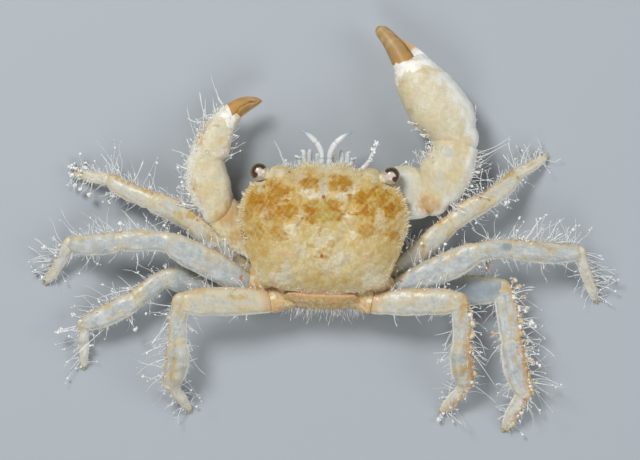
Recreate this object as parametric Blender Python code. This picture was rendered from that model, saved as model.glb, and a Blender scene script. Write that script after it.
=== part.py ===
"""Life-size still model of a pilumnus crab, standing with its claws and legs spread.

Run it with blender --background --python part.py, or from Blender's text editor.
The sizes below are millimetres in the crab's own frame, which the last step turns to metres:
X to the crab's right as seen from above with its head away, Y towards its front, Z up from the floor.
"""

import math
import random
from collections import namedtuple

import bmesh
import bpy
import numpy as np
from mathutils import Vector
from mathutils.bvhtree import BVHTree

MM = 0.001
GAP = 0.3  # between pieces that meet face to face
FLOOR = 0.0

Limb = namedtuple("Limb", "root headings lengths breadths heights")
Section = namedtuple("Section", "start end breadth profile flatness")  # one limb piece, where bristles grow
Lock = namedtuple("Lock", "root way along length")  # one tuft of bristles

# The shield over the back
CARAPACE_HALF_OUTLINE = (
    (0, 7.3), (1.7, 7.7), (3.3, 7.3), (4.4, 6.5), (6.6, 5.6), (8.8, 4.6), (9.6, 3.2), (10.0, 1.6),
    (9.95, 0), (9.4, -1.8), (8.5, -4.2), (7.7, -6.2), (7.0, -7.0), (5.4, -7.4), (3, -7.75), (0, -7.9),
)
FRONT_POINTS = 8  # of the outline, from the middle of the front to the widest place
CARAPACE_FLOOR, CARAPACE_EDGE, CARAPACE_TOP = 5.5, 6.3, 9.3
CARAPACE_ROUND, CARAPACE_RINGS = 52, 15
DOME_POWER = 3.2  # the dome stays high and then drops near the edge
UNDERCUT_POWER, UNDERCUT_DEPTH = 0.35, 1.4
FRONT_DROOP = 0.5  # how far the front edge hangs below the side edge
TOOTH_LENGTH, TOOTH_RADIUS, TOOTH_SUNK = 1.25, 0.42, 0.5
SIDE_TEETH = ((8.5, 4.5, 52), (9.3, 3.3, 36), (9.75, 1.8, 22), (9.8, 0.3, 8))  # x, y, heading in degrees

# The trunk below it, cut flat where the shield, mouth and tail plates meet it
TRUNK_HALF_OUTLINE = (
    (0, 5.9), (2.6, 5.8), (4.3, 4.7), (5.2, 2.6), (5.8, 0), (6.1, -2.5), (6.0, -5.5), (5.5, -8.4),
    (3, -9.3), (0, -9.4),
)
TRUNK_MIDDLE, TRUNK_HALF_HEIGHT, TRUNK_BELLY = 3.6, 3.0, 1.5
TRUNK_ROUND, TRUNK_RINGS = 36, 14
TRUNK_POWER = 2.6  # of the superellipse that it is in side view
TRUNK_TOP = CARAPACE_FLOOR - GAP
TRUNK_FACE = 5.5  # y of the flat that the mouth plates lie on
TAIL_TOP_Y, TAIL_FOOT_Y = -8.0, -9.5  # the flat at the rear leans from one to the other
TAIL_SLAB, TAIL_HALF_WIDTH, TAIL_LOW = 0.9, 3.8, 1.9
TAIL_RINGS = (  # shares of the length, the thickness and the width
    (0.02, 0.55, 0.94), (0.22, 0.95, 1.0), (0.6, 1.0, 0.98), (0.98, 0.7, 0.78),
)
TAIL_PLAN = ((-1, 0), (1, 0), (0.94, 0.75), (0.5, 1), (-0.5, 1), (-0.94, 0.75))  # across and out
FLAP_LENGTH, FLAP_THICK, FLAP_WIDE, FLAP_START = 9.5, 0.55, 2.6, 0.9
FLAP_PLAN = ((-1, 0), (1, 0), (0.8, 1), (-0.8, 1))  # across and down
FLAP_RINGS = ((0, 0.9), (0.25, 1.0), (0.65, 0.68), (0.92, 0.42), (1, 0.3))  # shares of length and width

# Head parts
EYE = (7.75, 6.15, 6.5)
EYE_RADIUS, EYE_CUT = 1.0, 0.55  # the ball is cut flat at this share of its radius, where the stalk meets it
STALK_ROOT, STALK_RADIUS = (4.9, 6.0, 6.15), 0.62
STALK_RINGS = ((0, 0.7), (0.12, 0.95), (0.5, 0.98), (0.85, 1.08), (1, 1.1))  # shares of length and radius
STALK_SIDES, ORBIT_SIDES = 10, 12
BALL_ROUND, BALL_RINGS = 14, 9
STALK_ROOM, BALL_ROOM = 0.1, 0.05  # in the orbit beyond the gap, round the stalk and the eye
ORBIT_BEHIND = 0.22  # how far the orbit starts behind the stalk's root, as a share of the stalk
FEELERS = {  # points along each, and the radius at its root
    "antennule": (
        ((0.5, 5.87, 4.82), (0.45, 7.4, 4.97), (0.5, 8.9, 5.2), (1.8, 10.35, 5.6), (3.0, 11.15, 5.7)), 0.28,
    ),
    "antenna": (((3.1, 5.87, 4.7), (4.3, 6.9, 4.8), (5.2, 8.4, 5.3), (6.1, 9.95, 5.8)), 0.3),
}
FEELER_TAPER = 0.12  # of the root's radius, lost at each point
FEELER_SIDES = 8
MOUTH_PLATE = (2.5, 0.8, 2.7)  # width, thickness, height
MOUTH_LOW = TRUNK_BELLY + 0.05
MOUTH_BEVEL = 0.45  # share of the plate's thickness
PALPS = ((1.2, 8.7), (2.1, 9.0), (2.8, 8.4))  # x and y of each tip in front of the shield
PALP_RADII, PALP_SIDES = (0.27, 0.27, 0.2), 6
PALP_ROOT_X = (0.5, 0.62)  # x of a root: the first and the second times the tip's x
PALP_HEIGHTS = (0.2, 0.36)  # of root and tip above the plate's middle, as shares of its height
PALP_BEND = (0.45, 0.12)  # share of the way to the tip, and height of the bend there

# Walking legs: root place and the compass headings and plan lengths of merus, carpus, propodus and dactylus,
# their widest breadths, and the heights of the root and of the three joints
LEGS = {
    "leg_left_1": Limb((-8.7, -5.9), (140, 153, 156, 170), (9.0, 5.5, 5.7, 4.6), (2.7, 2.6, 2.1, 1.3),
        (2.6, 4.0, 4.2, 2.6)),
    "leg_left_2": Limb((-8.6, -7.2), (154, 180, 185, 239), (10.6, 5.8, 6.1, 5.7), (3.3, 2.5, 2.5, 1.4),
        (3.8, 6.0, 5.6, 3.0)),
    "leg_left_3": Limb((-7.6, -7.9), (174, 217, 207, 270), (10.9, 4.4, 6.9, 5.4), (3.1, 2.2, 2.5, 1.2),
        (2.0, 3.0, 3.5, 2.4)),
    "leg_left_4": Limb((-6.0, -9.1), (182, 266, 262, 307), (10.4, 4.7, 5.4, 3.9), (3.3, 2.2, 2.8, 1.3),
        (4.6, 6.2, 5.4, 2.8)),
    "leg_right_1": Limb((8.4, -5.9), (45, 34, 43, 32), (9.5, 4.9, 4.7, 4.6), (2.6, 2.4, 2.1, 1.3),
        (2.6, 4.0, 4.2, 2.6)),
    "leg_right_2": Limb((8.7, -7.4), (27, 8, -1, -67), (10.6, 4.0, 8.3, 6.4), (3.3, 2.3, 2.5, 1.4),
        (3.8, 6.0, 5.6, 3.0)),
    "leg_right_3": Limb((7.6, -7.6), (3, -77, -75, -115), (13.7, 6.0, 6.7, 5.0), (3.6, 2.6, 2.8, 1.6),
        (1.9, 2.9, 3.4, 2.4)),
    "leg_right_4": Limb((6.0, -8.9), (3, -84, -83, -127), (10.2, 4.9, 5.2, 4.4), (3.1, 2.2, 2.6, 1.3),
        (4.6, 6.2, 5.4, 2.8)),
}
LEG_PIECES = ("merus", "carpus", "propodus", "dactylus")
LEG_PROFILES = ((0.5, 1.0, 0.8), (0.7, 1.0, 0.84), (0.82, 1.0, 0.7), (0.9, 0.84, 0.46))  # start, middle, end
LEG_BOWS = (0.0, -0.1, 0.1, 0.04)  # sideways bow of each piece, as a share of its breadth
LEG_FLATNESS = (0.5, 0.6, 0.62, 0.72)  # thickness over breadth
LEG_SIDES = 10
HIP_FLATNESS = 0.7
TOE_HEIGHT = 0.03  # of the toe's own axis at its tip, so that the floor cuts a small flat
LEG_STEPS, CLAW_STEPS, HIP_STEPS = 5, 6, 2  # stretches between the rings of a piece
HIP_INWARD = (0.42, 0.85)  # a hip starts inside the trunk, at these shares of its root's x and y
MITRE_REACH = 0.35  # share of a piece's length over which its rings lean into the plane of its joint

# Claws: as the legs, for merus, carpus, palm and fingers
CLAWS = {
    "claw_left": Limb((-7.5, -3.0), (137, 101, 66, 24), (7.1, 5.9, 6.2, 3.8), (3.4, 5.3, 4.4, 2.7),
        (3.8, 4.1, 4.3, 4.0)),
    "claw_right": Limb((6.2, 2.6), (13, 67, 125, 127), (6.4, 7.2, 10.4, 5.4), (5.4, 5.9, 6.9, 4.0),
        (3.6, 3.9, 4.3, 3.9)),
}
CLAW_TIP_HEIGHTS = {"claw_left": 3.6, "claw_right": 3.3}
CLAW_PIECES = ("merus", "carpus", "palm")
CLAW_PROFILES = ((0.6, 1.0, 0.86), (0.72, 1.0, 0.84), (0.8, 1.03, 0.6))
CLAW_BOWS = (0.03, 0.15, 0.06)  # towards the outer side
CLAW_FLATNESS = (0.5, 0.74, 0.78)
CLAW_SIDES = 16
FINGER_SIDES = 14
FINGER_FLATNESS, FINGER_TIP, FINGER_CURL, FINGER_TAPER = 0.95, 0.34, 0.09, 1.15
FIXED_FINGER_SUNK, FREE_FINGER_SUNK = 1.2, 1.0  # how far behind the joint each finger's rings begin
FINGER_RINGS = (0, 0.3, 0.6, 0.85, 1)
FINGER_SPLIT_TILT = math.radians(24)  # the slit between the fingers leans this much from level

# Bristles: tufts of stiff hairs, each modelled as one flat tapered lock that bends towards the limb's tip
LOCK_WIDE, LOCK_THICK, LOCK_SUNK = 0.95, 0.5, 0.42
LOCK_SHAPE = ((0, 1.0), (0.4, 0.88), (0.76, 0.56))  # share of the length, share of the width; then a point
LOCK_ROOM = (1.0, 0.9, 0.6)  # share of the width that each stretch of a lock must have free
LOCK_BEND, LOCK_SAG = 1.15, 0.2  # towards the limb's tip, and down
OUTER_EDGE, TOP_EDGE, INNER_EDGE = 8, 62, 176  # degrees round a limb from its outer edge, over the top
EDGE_SCATTER = 12  # degrees
LOCK_LEAN, LOCK_RISE = (0.35, 0.7), 0.15  # of a lock's root towards the limb's tip, and up
LOCK_LENGTHS, LOCK_PLACES = (0.8, 1.15), 0.25  # share of the length, and of the room to the next lock
LEG_LOCKS = {  # number along the outer edge, on top and along the inner edge, and their length
    "merus": (3, 1, 0, 2.1), "carpus": (2, 1, 1, 2.6), "propodus": (5, 1, 3, 3.1), "dactylus": (3, 0, 2, 2.0),
}
CLAW_LOCKS = {
    "claw_left": {"merus": (1, 0, 0, 1.8), "carpus": (4, 2, 1, 2.4), "palm": (5, 2, 2, 2.7)},
    "claw_right": {"merus": (1, 0, 0, 1.5), "carpus": (3, 0, 2, 1.8), "palm": (0, 0, 1, 1.2)},
}
LOCK_SPAN = {  # share of each piece's length that carries locks
    "merus": (0.34, 0.93), "carpus": (0.2, 0.86), "propodus": (0.12, 0.92), "dactylus": (0.08, 0.66),
    "palm": (0.1, 0.84),
}
BARE_PALM_SPAN = (0.02, 0.1)  # the big claw's palm is bare but for its wrist
FRONT_FRINGE = (8, 1.2, 5.0)  # number of locks, length, how far to each side of the middle
SIDE_FRINGE = (3, 1.4, 34, 17)  # number on each side, length, first bearing and step in degrees
TAIL_FRINGE = (6, 1.6, 0.85)  # number, length, share of the plate's width
FRINGE_LENGTHS = (0.85, 1.15)
FRINGE_RAISED = (0.25, 0.2)  # of the roots above the front edge and the side edge
FRINGE_RISE = (0.35, 0.45, 0.1)  # of the locks in front, at the sides and behind
FRONT_FAN, TAIL_FAN = 1 / 18, 1 / 9  # how far locks turn sideways for each mm from the middle
TAIL_FRINGE_DROP = (0.21, 0.53)  # share of the tail plate's height, from its top
TURNS_TO_TRY = (0, 25, 50, 75)  # degrees that a lock is raised to clear its neighbours
SHORTER_TO_TRY = (1, 0.75, 0.55)
LOCK_SEED = 41

COLOURS = {  # colour, roughness
    "shell": ((0.72, 0.58, 0.34), 0.55),
    "limb": ((0.74, 0.72, 0.64), 0.45),
    "claw": ((0.84, 0.79, 0.66), 0.4),
    "horn": ((0.52, 0.33, 0.15), 0.3),
    "eye": ((0.05, 0.03, 0.03), 0.15),
    "feeler": ((0.8, 0.84, 0.88), 0.5),
}


def clear_scene():
    for thing in list(bpy.data.objects):
        bpy.data.objects.remove(thing)


def material(name):
    colour, roughness = COLOURS[name]
    made = bpy.data.materials.get(name) or bpy.data.materials.new(name)
    made.use_nodes = True
    shader = made.node_tree.nodes["Principled BSDF"]
    shader.inputs["Base Color"].default_value = (*colour, 1)
    shader.inputs["Roughness"].default_value = roughness
    shader.inputs["Metallic"].default_value = 0.0
    made.diffuse_color = (*colour, 1)
    return made


def add_object(name, bm, finish, origin=(0, 0, 0), collection=None):
    """Turns a bmesh in millimetres into an object in metres, placed at its origin."""
    bmesh.ops.recalc_face_normals(bm, faces=bm.faces)
    bmesh.ops.translate(bm, verts=bm.verts, vec=-Vector(origin))
    bmesh.ops.scale(bm, verts=bm.verts, vec=(MM, MM, MM))
    mesh = bpy.data.meshes.new(name)
    bm.to_mesh(mesh)
    bm.free()
    thing = bpy.data.objects.new(name, mesh)
    thing.location = Vector(origin) * MM
    mesh.materials.append(material(finish))
    (collection or crab_pieces).objects.link(thing)
    if collection is None:
        thing.parent = crab
    return thing


def loft(rings, bm=None):
    """A closed tube through rings of equally many points, with flat ends, or a point where a ring has one."""
    bm = bm or bmesh.new()
    loops = [[bm.verts.new(point) for point in ring] for ring in rings]
    for near, far in zip(loops, loops[1:]):
        for i in range(len(near)):
            j = (i + 1) % len(near)
            if len(far) == 1:
                bm.faces.new((near[i], near[j], far[0]))
            else:
                bm.faces.new((near[i], near[j], far[j], far[i]))
    bm.faces.new(loops[0][::-1])
    if len(loops[-1]) > 1:
        bm.faces.new(loops[-1])
    return bm


def ring(centre, side, up, half_width, half_height, sides):
    turns = [2 * math.pi * i / sides for i in range(sides)]
    return [centre + side * (half_width * math.cos(a)) + up * (half_height * math.sin(a)) for a in turns]


def through(t, start, middle, end):
    """The parabola through three values at 0, a half and 1."""
    return start * (1 - t) * (1 - 2 * t) + middle * 4 * t * (1 - t) + end * t * (2 * t - 1)


def frame_of(along):
    """The level sideways vector to the left of a direction, and the one that completes the set."""
    side = Vector((-along.y, along.x, 0)).normalized()
    return side, along.cross(side)


def joints_of(root, headings, lengths, heights, tip_height):
    """Joint places of a limb from its plan headings and lengths and its heights."""
    points = [Vector((*root, heights[0]))]
    for heading, length, height in zip(headings, lengths, (*heights[1:], tip_height)):
        angle = math.radians(heading)
        last = points[-1]
        points.append(Vector((last.x + length * math.cos(angle), last.y + length * math.sin(angle), height)))
    return points


def mitres_of(points, before_root):
    """The normal of the plane in which each two pieces meet: half way between their directions."""
    ways = [(points[0] - before_root).normalized()]
    ways += [(b - a).normalized() for a, b in zip(points, points[1:])]
    normals = [(a + b).normalized() for a, b in zip(ways, ways[1:])]
    return normals + [ways[-1]]


def piece_rings(section, start_normal, end_normal, bow, sides, steps, open_end=False):
    """Rings of one limb piece. Both end rings lie in the joint planes, half a gap short of them."""
    start, end, breadth, profile, flatness = section
    along = (end - start).normalized()
    side, up = frame_of(along)
    rings = []
    for i in range(steps + 1):
        t = i / steps
        half = breadth / 2 * through(t, *profile)
        centre = start.lerp(end, t) + side * (bow * breadth * math.sin(math.pi * t))
        made = []
        for point in ring(centre, side, up, half, half * flatness, sides):
            reach = point - centre
            near, far = max(0, 1 - t / MITRE_REACH), max(0, 1 - (1 - t) / MITRE_REACH)
            shift = -near * reach.dot(start_normal) / along.dot(start_normal)
            shift -= far * reach.dot(end_normal) / along.dot(end_normal)
            if i == 0:
                shift += GAP / 2 / along.dot(start_normal)
            if i == steps and not open_end:
                shift -= GAP / 2 / along.dot(end_normal)
            made.append(point + along * shift)
        rings.append(made)
    return rings


def cut_at(bm, point, normal):
    """Takes away what lies beyond a plane and closes the hole with a flat."""
    whole = bm.verts[:] + bm.edges[:] + bm.faces[:]
    cut = bmesh.ops.bisect_plane(bm, geom=whole, dist=1e-5, plane_co=point, plane_no=normal, clear_outer=True)
    edges = [e for e in cut["geom_cut"] if isinstance(e, bmesh.types.BMEdge)]
    bmesh.ops.edgeloop_fill(bm, edges=edges)


def keep_largest(thing):
    """Drops every closed surface of a mesh but the one that encloses most."""
    bm = bmesh.new()
    bm.from_mesh(thing.data)
    bmesh.ops.triangulate(bm, faces=bm.faces)
    left, shells = set(bm.verts), []
    while left:
        stack, shell = [left.pop()], set()
        while stack:
            vert = stack.pop()
            shell.add(vert)
            for edge in vert.link_edges:
                other = edge.other_vert(vert)
                if other in left:
                    left.discard(other)
                    stack.append(other)
        shells.append(shell)
    shells.sort(key=lambda verts: -enclosed(verts))
    loose = [vert for shell in shells[1:] for vert in shell]
    bmesh.ops.delete(bm, geom=loose, context="VERTS")
    bm.to_mesh(thing.data)
    bm.free()


def enclosed(verts):
    """The volume inside a closed surface of triangles, given by its corners."""
    faces = {face for vert in verts for face in vert.link_faces}
    corners = np.array([[vert.co for vert in face.verts] for face in faces])
    return abs(np.einsum("ij,ij->", corners[:, 0], np.cross(corners[:, 1], corners[:, 2]))) / 6


def fuse(thing, pieces, operation="UNION"):
    """Joins closed pieces to a node, or cuts them from it, in one Boolean, and removes them."""
    group = bpy.data.collections.new(thing.name + "_pieces")
    bpy.context.scene.collection.children.link(group)
    for number, bm in enumerate(pieces):
        piece = add_object(f"{thing.name}_piece_{number}", bm, "shell", collection=group)
        piece.hide_render = True
    boolean = thing.modifiers.new("pieces", "BOOLEAN")
    boolean.operation = operation
    boolean.operand_type = "COLLECTION"
    boolean.collection = group
    boolean.solver = "EXACT"
    bpy.context.view_layer.update()
    graph = bpy.context.evaluated_depsgraph_get()
    mesh = bpy.data.meshes.new_from_object(thing.evaluated_get(graph))
    thing.modifiers.clear()
    thing.data = mesh
    for piece in list(group.objects):
        bpy.data.objects.remove(piece)
    bpy.data.collections.remove(group)
    keep_largest(thing)


def radius_at(outline, angle):
    """Distance from the middle to a mirrored half outline, in the direction of an angle from +X."""
    angles = np.array([math.atan2(y, x) for x, y in outline])
    radii = np.array([math.hypot(x, y) for x, y in outline])
    folded = math.atan2(math.sin(angle), abs(math.cos(angle)))
    return float(np.interp(folded, angles[::-1], radii[::-1]))


def rounded_body(outline, around, rings, shape):
    """A ball whose plan is stretched to an outline. shape gives share and height for a ball's height."""
    bm = bmesh.new()
    bmesh.ops.create_uvsphere(bm, u_segments=around, v_segments=rings, radius=1)
    for vert in bm.verts:
        angle = math.atan2(vert.co.y, vert.co.x)
        reach = radius_at(outline, angle)
        share, height = shape(vert.co.z, math.sin(angle))
        vert.co = Vector((math.cos(angle) * reach * share, math.sin(angle) * reach * share, height))
    return bm


def carapace_shape(ball_z, forward):
    """The shield: a low dome above its edge, and a short undercut below it."""
    share = math.sqrt(max(0, 1 - ball_z**2))
    edge = CARAPACE_EDGE - FRONT_DROOP * max(0, forward) ** 2 * share
    if ball_z >= 0:
        return share, edge + (CARAPACE_TOP - edge) * (1 - share**DOME_POWER)
    return share**UNDERCUT_POWER, edge + UNDERCUT_DEPTH * ball_z


def trunk_shape(ball_z, forward):
    """A boxy body: a superellipse in side view."""
    share = (1 - abs(ball_z) ** TRUNK_POWER) ** (1 / TRUNK_POWER)
    return share, TRUNK_MIDDLE + TRUNK_HALF_HEIGHT * ball_z


def spike(root, way, length, radius, sides=6):
    """A cone that starts well inside what it grows from."""
    side, up = frame_of(way)
    return loft([ring(root, side, up, radius, radius, sides), [root + way * length]])


def swept(points, radii, sides):
    """A tapering tube through points, with rings across its own direction."""
    points = [Vector(p) for p in points]
    rings = []
    for i, (point, radius) in enumerate(zip(points, radii)):
        along = (points[min(i + 1, len(points) - 1)] - points[max(i - 1, 0)]).normalized()
        side, up = frame_of(along)
        rings.append(ring(point, side, up, radius, radius, sides))
    return loft(rings)


def ball_at(centre, radius):
    bm = bmesh.new()
    bmesh.ops.create_uvsphere(bm, u_segments=BALL_ROUND, v_segments=BALL_RINGS, radius=radius)
    bmesh.ops.translate(bm, verts=bm.verts, vec=centre)
    return bm


def mirrored(point, sign):
    return (point[0] * sign, *point[1:])


def make_carapace():
    bm = rounded_body(CARAPACE_HALF_OUTLINE, CARAPACE_ROUND, CARAPACE_RINGS, carapace_shape)
    cut_at(bm, (0, 0, CARAPACE_FLOOR), (0, 0, -1))
    shield = add_object("carapace", bm, "shell", (0, 0, CARAPACE_FLOOR))
    orbits = []
    for sign in (-1, 1):
        root, eye = mirrored(STALK_ROOT, sign), mirrored(EYE, sign)
        wide = STALK_RADIUS + GAP + STALK_ROOM
        reach = Vector(root).lerp(Vector(eye), -ORBIT_BEHIND)
        orbits.append(swept((reach, eye), (wide, wide), ORBIT_SIDES))
        orbits.append(ball_at(eye, EYE_RADIUS + GAP + BALL_ROOM))
    fuse(shield, orbits, "DIFFERENCE")
    teeth = []
    for sign in (-1, 1):
        for x, y, heading in SIDE_TEETH:
            angle = math.radians(heading)
            way = Vector((sign * math.cos(angle), math.sin(angle), 0.12)).normalized()
            root = Vector((sign * x, y, CARAPACE_EDGE)) - way * TOOTH_SUNK
            teeth.append(spike(root, way, TOOTH_LENGTH, TOOTH_RADIUS))
    fuse(shield, teeth)


def make_trunk(hips):
    bm = rounded_body(TRUNK_HALF_OUTLINE, TRUNK_ROUND, TRUNK_RINGS, trunk_shape)
    cut_at(bm, (0, 0, TRUNK_TOP), (0, 0, 1))
    cut_at(bm, (0, 0, TRUNK_BELLY), (0, 0, -1))
    cut_at(bm, (0, TRUNK_FACE, 0), (0, 1, 0))
    trunk = add_object("thorax", bm, "shell", (0, 0, TRUNK_MIDDLE))
    fuse(trunk, hips)
    fuse(trunk, [tail_room()], "DIFFERENCE")


def tail_room():
    """The space behind the leaning flat at the rear, as wide as the tail plate and its gaps."""
    out, half = tail_normal(), TAIL_HALF_WIDTH + GAP
    down = Vector((0, TAIL_FOOT_Y - TAIL_TOP_Y, TRUNK_BELLY - TRUNK_TOP)).normalized()
    top = Vector((0, TAIL_TOP_Y, TRUNK_TOP)) - down
    foot = Vector((0, TAIL_FOOT_Y, TRUNK_BELLY)) + down
    corners = ((-half, 0), (half, 0), (half, 3), (-half, 3))
    return loft([[end + Vector((x, 0, 0)) + out * y for x, y in corners] for end in (top, foot)])


def tail_normal():
    """The outward normal of the leaning flat at the rear."""
    run, drop = TAIL_TOP_Y - TAIL_FOOT_Y, TRUNK_TOP - TRUNK_BELLY
    return Vector((0, -drop, run)).normalized()


def make_tail():
    """The two tail plates: one down the rear, and the flap folded forward under the belly."""
    out = tail_normal()
    top = Vector((0, TAIL_TOP_Y, TRUNK_TOP)) + out * GAP
    down = Vector((0, TAIL_FOOT_Y - TAIL_TOP_Y, TRUNK_BELLY - TRUNK_TOP)).normalized()
    length = (top.z - TAIL_LOW) / -down.z
    rings = []
    for share, thick, wide in TAIL_RINGS:
        inner = top + down * (length * share)
        half, depth = TAIL_HALF_WIDTH * wide, TAIL_SLAB * thick
        rings.append([inner + Vector((x * half, 0, 0)) + out * (depth * y) for x, y in TAIL_PLAN])
    add_object("abdomen_base", loft(rings), "shell", top)
    start = Vector((0, TAIL_FOOT_Y + FLAP_START, TRUNK_BELLY - GAP))
    rings = []
    for share, wide in FLAP_RINGS:
        half, low = FLAP_WIDE * wide, FLAP_THICK * (1 - 0.4 * share)
        place = start + Vector((0, FLAP_LENGTH * share, 0))
        rings.append([place + Vector((x * half, 0, -z * low)) for x, z in FLAP_PLAN])
    add_object("abdomen_flap", loft(rings), "shell", start)


def make_head():
    for side_name, sign in (("left", -1), ("right", 1)):
        eye, root = Vector(mirrored(EYE, sign)), Vector(mirrored(STALK_ROOT, sign))
        along = (eye - root).normalized()
        side, up = frame_of(along)
        neck = eye - along * (EYE_RADIUS * EYE_CUT + GAP)
        rings = []
        for share, swell in STALK_RINGS:
            radius = STALK_RADIUS * swell
            rings.append(ring(root.lerp(neck, share), side, up, radius, radius, STALK_SIDES))
        add_object(f"eyestalk_{side_name}", loft(rings), "limb", root)
        ball = ball_at(eye, EYE_RADIUS)
        cut_at(ball, eye - along * (EYE_RADIUS * EYE_CUT), -along)
        add_object(f"eye_{side_name}", ball, "eye", eye)
        for feeler, (points, radius) in FEELERS.items():
            path = [mirrored(p, sign) for p in points]
            radii = [radius * (1 - FEELER_TAPER * i) for i in range(len(path))]
            add_object(f"{feeler}_{side_name}", swept(path, radii, FEELER_SIDES), "feeler", path[0])
        make_mouthpart(side_name, sign)


def make_mouthpart(side_name, sign):
    """One outer jaw foot: a plate over the mouth, with three blunt palps that reach out in front."""
    width, thick, height = MOUTH_PLATE
    bm = bmesh.new()
    bmesh.ops.create_cube(bm, size=1)
    bmesh.ops.scale(bm, verts=bm.verts, vec=(width, thick, height))
    middle = Vector((sign * (width + GAP) / 2, TRUNK_FACE + GAP + thick / 2, MOUTH_LOW + height / 2))
    bmesh.ops.translate(bm, verts=bm.verts, vec=middle)
    front = [e for e in bm.edges if all(v.co.y > middle.y for v in e.verts)]
    bmesh.ops.bevel(bm, geom=front, offset=thick * MOUTH_BEVEL, segments=2, affect="EDGES")
    plate = add_object(f"mouthpart_{side_name}", bm, "shell", middle)
    palps = []
    first, more = PALP_ROOT_X
    root_rise, tip_rise = PALP_HEIGHTS
    for x, y in PALPS:
        root = Vector((sign * (first + more * x), middle.y, middle.z + root_rise * height))
        tip = Vector((sign * x, y, middle.z + tip_rise * height))
        bend = root.lerp(tip, PALP_BEND[0]) + Vector((0, 0, PALP_BEND[1]))
        palps.append(swept((root, bend, tip), PALP_RADII, PALP_SIDES))
    fuse(plate, palps)


def hip_of(points, before_root, normals, breadth, flatness, sides):
    """The stub that joins a limb to the trunk, up to half a gap short of the limb's first piece."""
    along = (points[0] - before_root).normalized()
    stub = Section(before_root, points[0], breadth, (1, 1, 1), flatness)
    return loft(piece_rings(stub, along, normals[0], 0, sides, HIP_STEPS))


def inside_trunk(root, height):
    across, along = HIP_INWARD
    return Vector((across * root[0], along * root[1], 0.5 * (height + TRUNK_MIDDLE)))


def make_leg(name, leg):
    points = joints_of(leg.root, leg.headings, leg.lengths, leg.heights, TOE_HEIGHT)
    before = inside_trunk(leg.root, leg.heights[0])
    normals = mitres_of(points, before)
    flexed = 1 if "left" in name else -1
    for i, piece in enumerate(LEG_PIECES):
        last = i == len(LEG_PIECES) - 1
        section = Section(points[i], points[i + 1], leg.breadths[i], LEG_PROFILES[i], LEG_FLATNESS[i])
        bow = LEG_BOWS[i] * flexed
        bm = loft(piece_rings(section, normals[i], normals[i + 1], bow, LEG_SIDES, LEG_STEPS, open_end=last))
        if last:
            cut_at(bm, (0, 0, FLOOR), (0, 0, -1))
        add_object(f"{name}_{piece}", bm, "limb", points[i])
        outer, top, inner, length = LEG_LOCKS[piece]
        for number, angle in ((outer, OUTER_EDGE), (top, TOP_EDGE), (inner, INNER_EDGE)):
            sow_row(f"{name}_{piece}", section, number, angle, -flexed, LOCK_SPAN[piece], length)
    root_breadth = leg.breadths[0] * LEG_PROFILES[0][0]
    return hip_of(points, before, normals, root_breadth, HIP_FLATNESS, LEG_SIDES)


def finger_rings(start, way, length, half_width, curl_side, split, sign, sides):
    """Rings of one finger of a claw: its side of an oval beak, cut by the slit between the fingers."""
    side, up = frame_of(way)
    rings = []
    for t in FINGER_RINGS:
        half = half_width * (1 - (1 - FINGER_TIP) * t**FINGER_TAPER)
        curl = curl_side * length * FINGER_CURL * math.sin(math.pi * t)
        centre = start + way * (length * t) + side * curl
        made = []
        for point in ring(centre, side, up, half, half * FINGER_FLATNESS, sides):
            above = (point - centre).dot(split) * sign
            if above < GAP / 2:
                point = point + split * (sign * (GAP / 2 - above))
            made.append(point)
        rings.append(made)
    return rings


def make_claw(name, claw):
    points = joints_of(claw.root, claw.headings, claw.lengths, claw.heights, CLAW_TIP_HEIGHTS[name])
    before = inside_trunk(claw.root, claw.heights[0])
    normals = mitres_of(points, before)
    flexed = 1 if "left" in name else -1
    finger_way = (points[4] - points[3]).normalized()
    for i, piece in enumerate(CLAW_PIECES):
        section = Section(points[i], points[i + 1], claw.breadths[i], CLAW_PROFILES[i], CLAW_FLATNESS[i])
        bow = CLAW_BOWS[i] * flexed
        rings = piece_rings(section, normals[i], normals[i + 1], bow, CLAW_SIDES, CLAW_STEPS)
        node = f"{name}_{piece}"
        palm = add_object(node, loft(rings), "claw", points[i])
        outer, top, inner, length = CLAW_LOCKS[name][piece]
        span = BARE_PALM_SPAN if node == "claw_right_palm" else LOCK_SPAN[piece]
        for number, angle in ((outer, OUTER_EDGE), (top, TOP_EDGE), (inner, INNER_EDGE)):
            sow_row(node, section, number, angle, flexed, span, length)
    side, up = frame_of(finger_way)
    split = up * math.cos(FINGER_SPLIT_TILT) - side * (flexed * math.sin(FINGER_SPLIT_TILT))
    half, reach = claw.breadths[3] / 2, claw.lengths[3] + FREE_FINGER_SUNK
    start = points[3] - finger_way * FIXED_FINGER_SUNK
    fuse(palm, [loft(finger_rings(start, finger_way, reach, half, -flexed, split, -1, FINGER_SIDES))])
    start = points[3] - finger_way * FREE_FINGER_SUNK
    free = loft(finger_rings(start, finger_way, reach, half, -flexed, split, 1, FINGER_SIDES))
    cut_at(free, points[3] + normals[3] * (GAP / 2), -normals[3])
    add_object(f"{name}_finger", free, "horn", points[3])
    root_breadth = claw.breadths[0] * CLAW_PROFILES[0][0]
    return hip_of(points, before, normals, root_breadth, CLAW_FLATNESS[0], CLAW_SIDES)


def sow_row(node, section, number, angle, outer_side, span, length):
    """Places a row of locks along one side of a limb piece."""
    along = (section.end - section.start).normalized()
    side, up = frame_of(along)
    for i in range(number):
        t = span[0] + (span[1] - span[0]) * (i + 0.5 + chance.uniform(-LOCK_PLACES, LOCK_PLACES)) / number
        a = math.radians(angle + chance.uniform(-EDGE_SCATTER, EDGE_SCATTER))
        half = section.breadth / 2 * through(t, *section.profile)
        out = side * (outer_side * math.cos(a)) + up * math.sin(a)
        skin = section.start.lerp(section.end, t)
        skin += side * (outer_side * math.cos(a) * half) + up * (math.sin(a) * half * section.flatness)
        way = (out + along * chance.uniform(*LOCK_LEAN) + up * LOCK_RISE).normalized()
        seeds.append((node, Lock(skin, way, along, length * chance.uniform(*LOCK_LENGTHS))))


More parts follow.
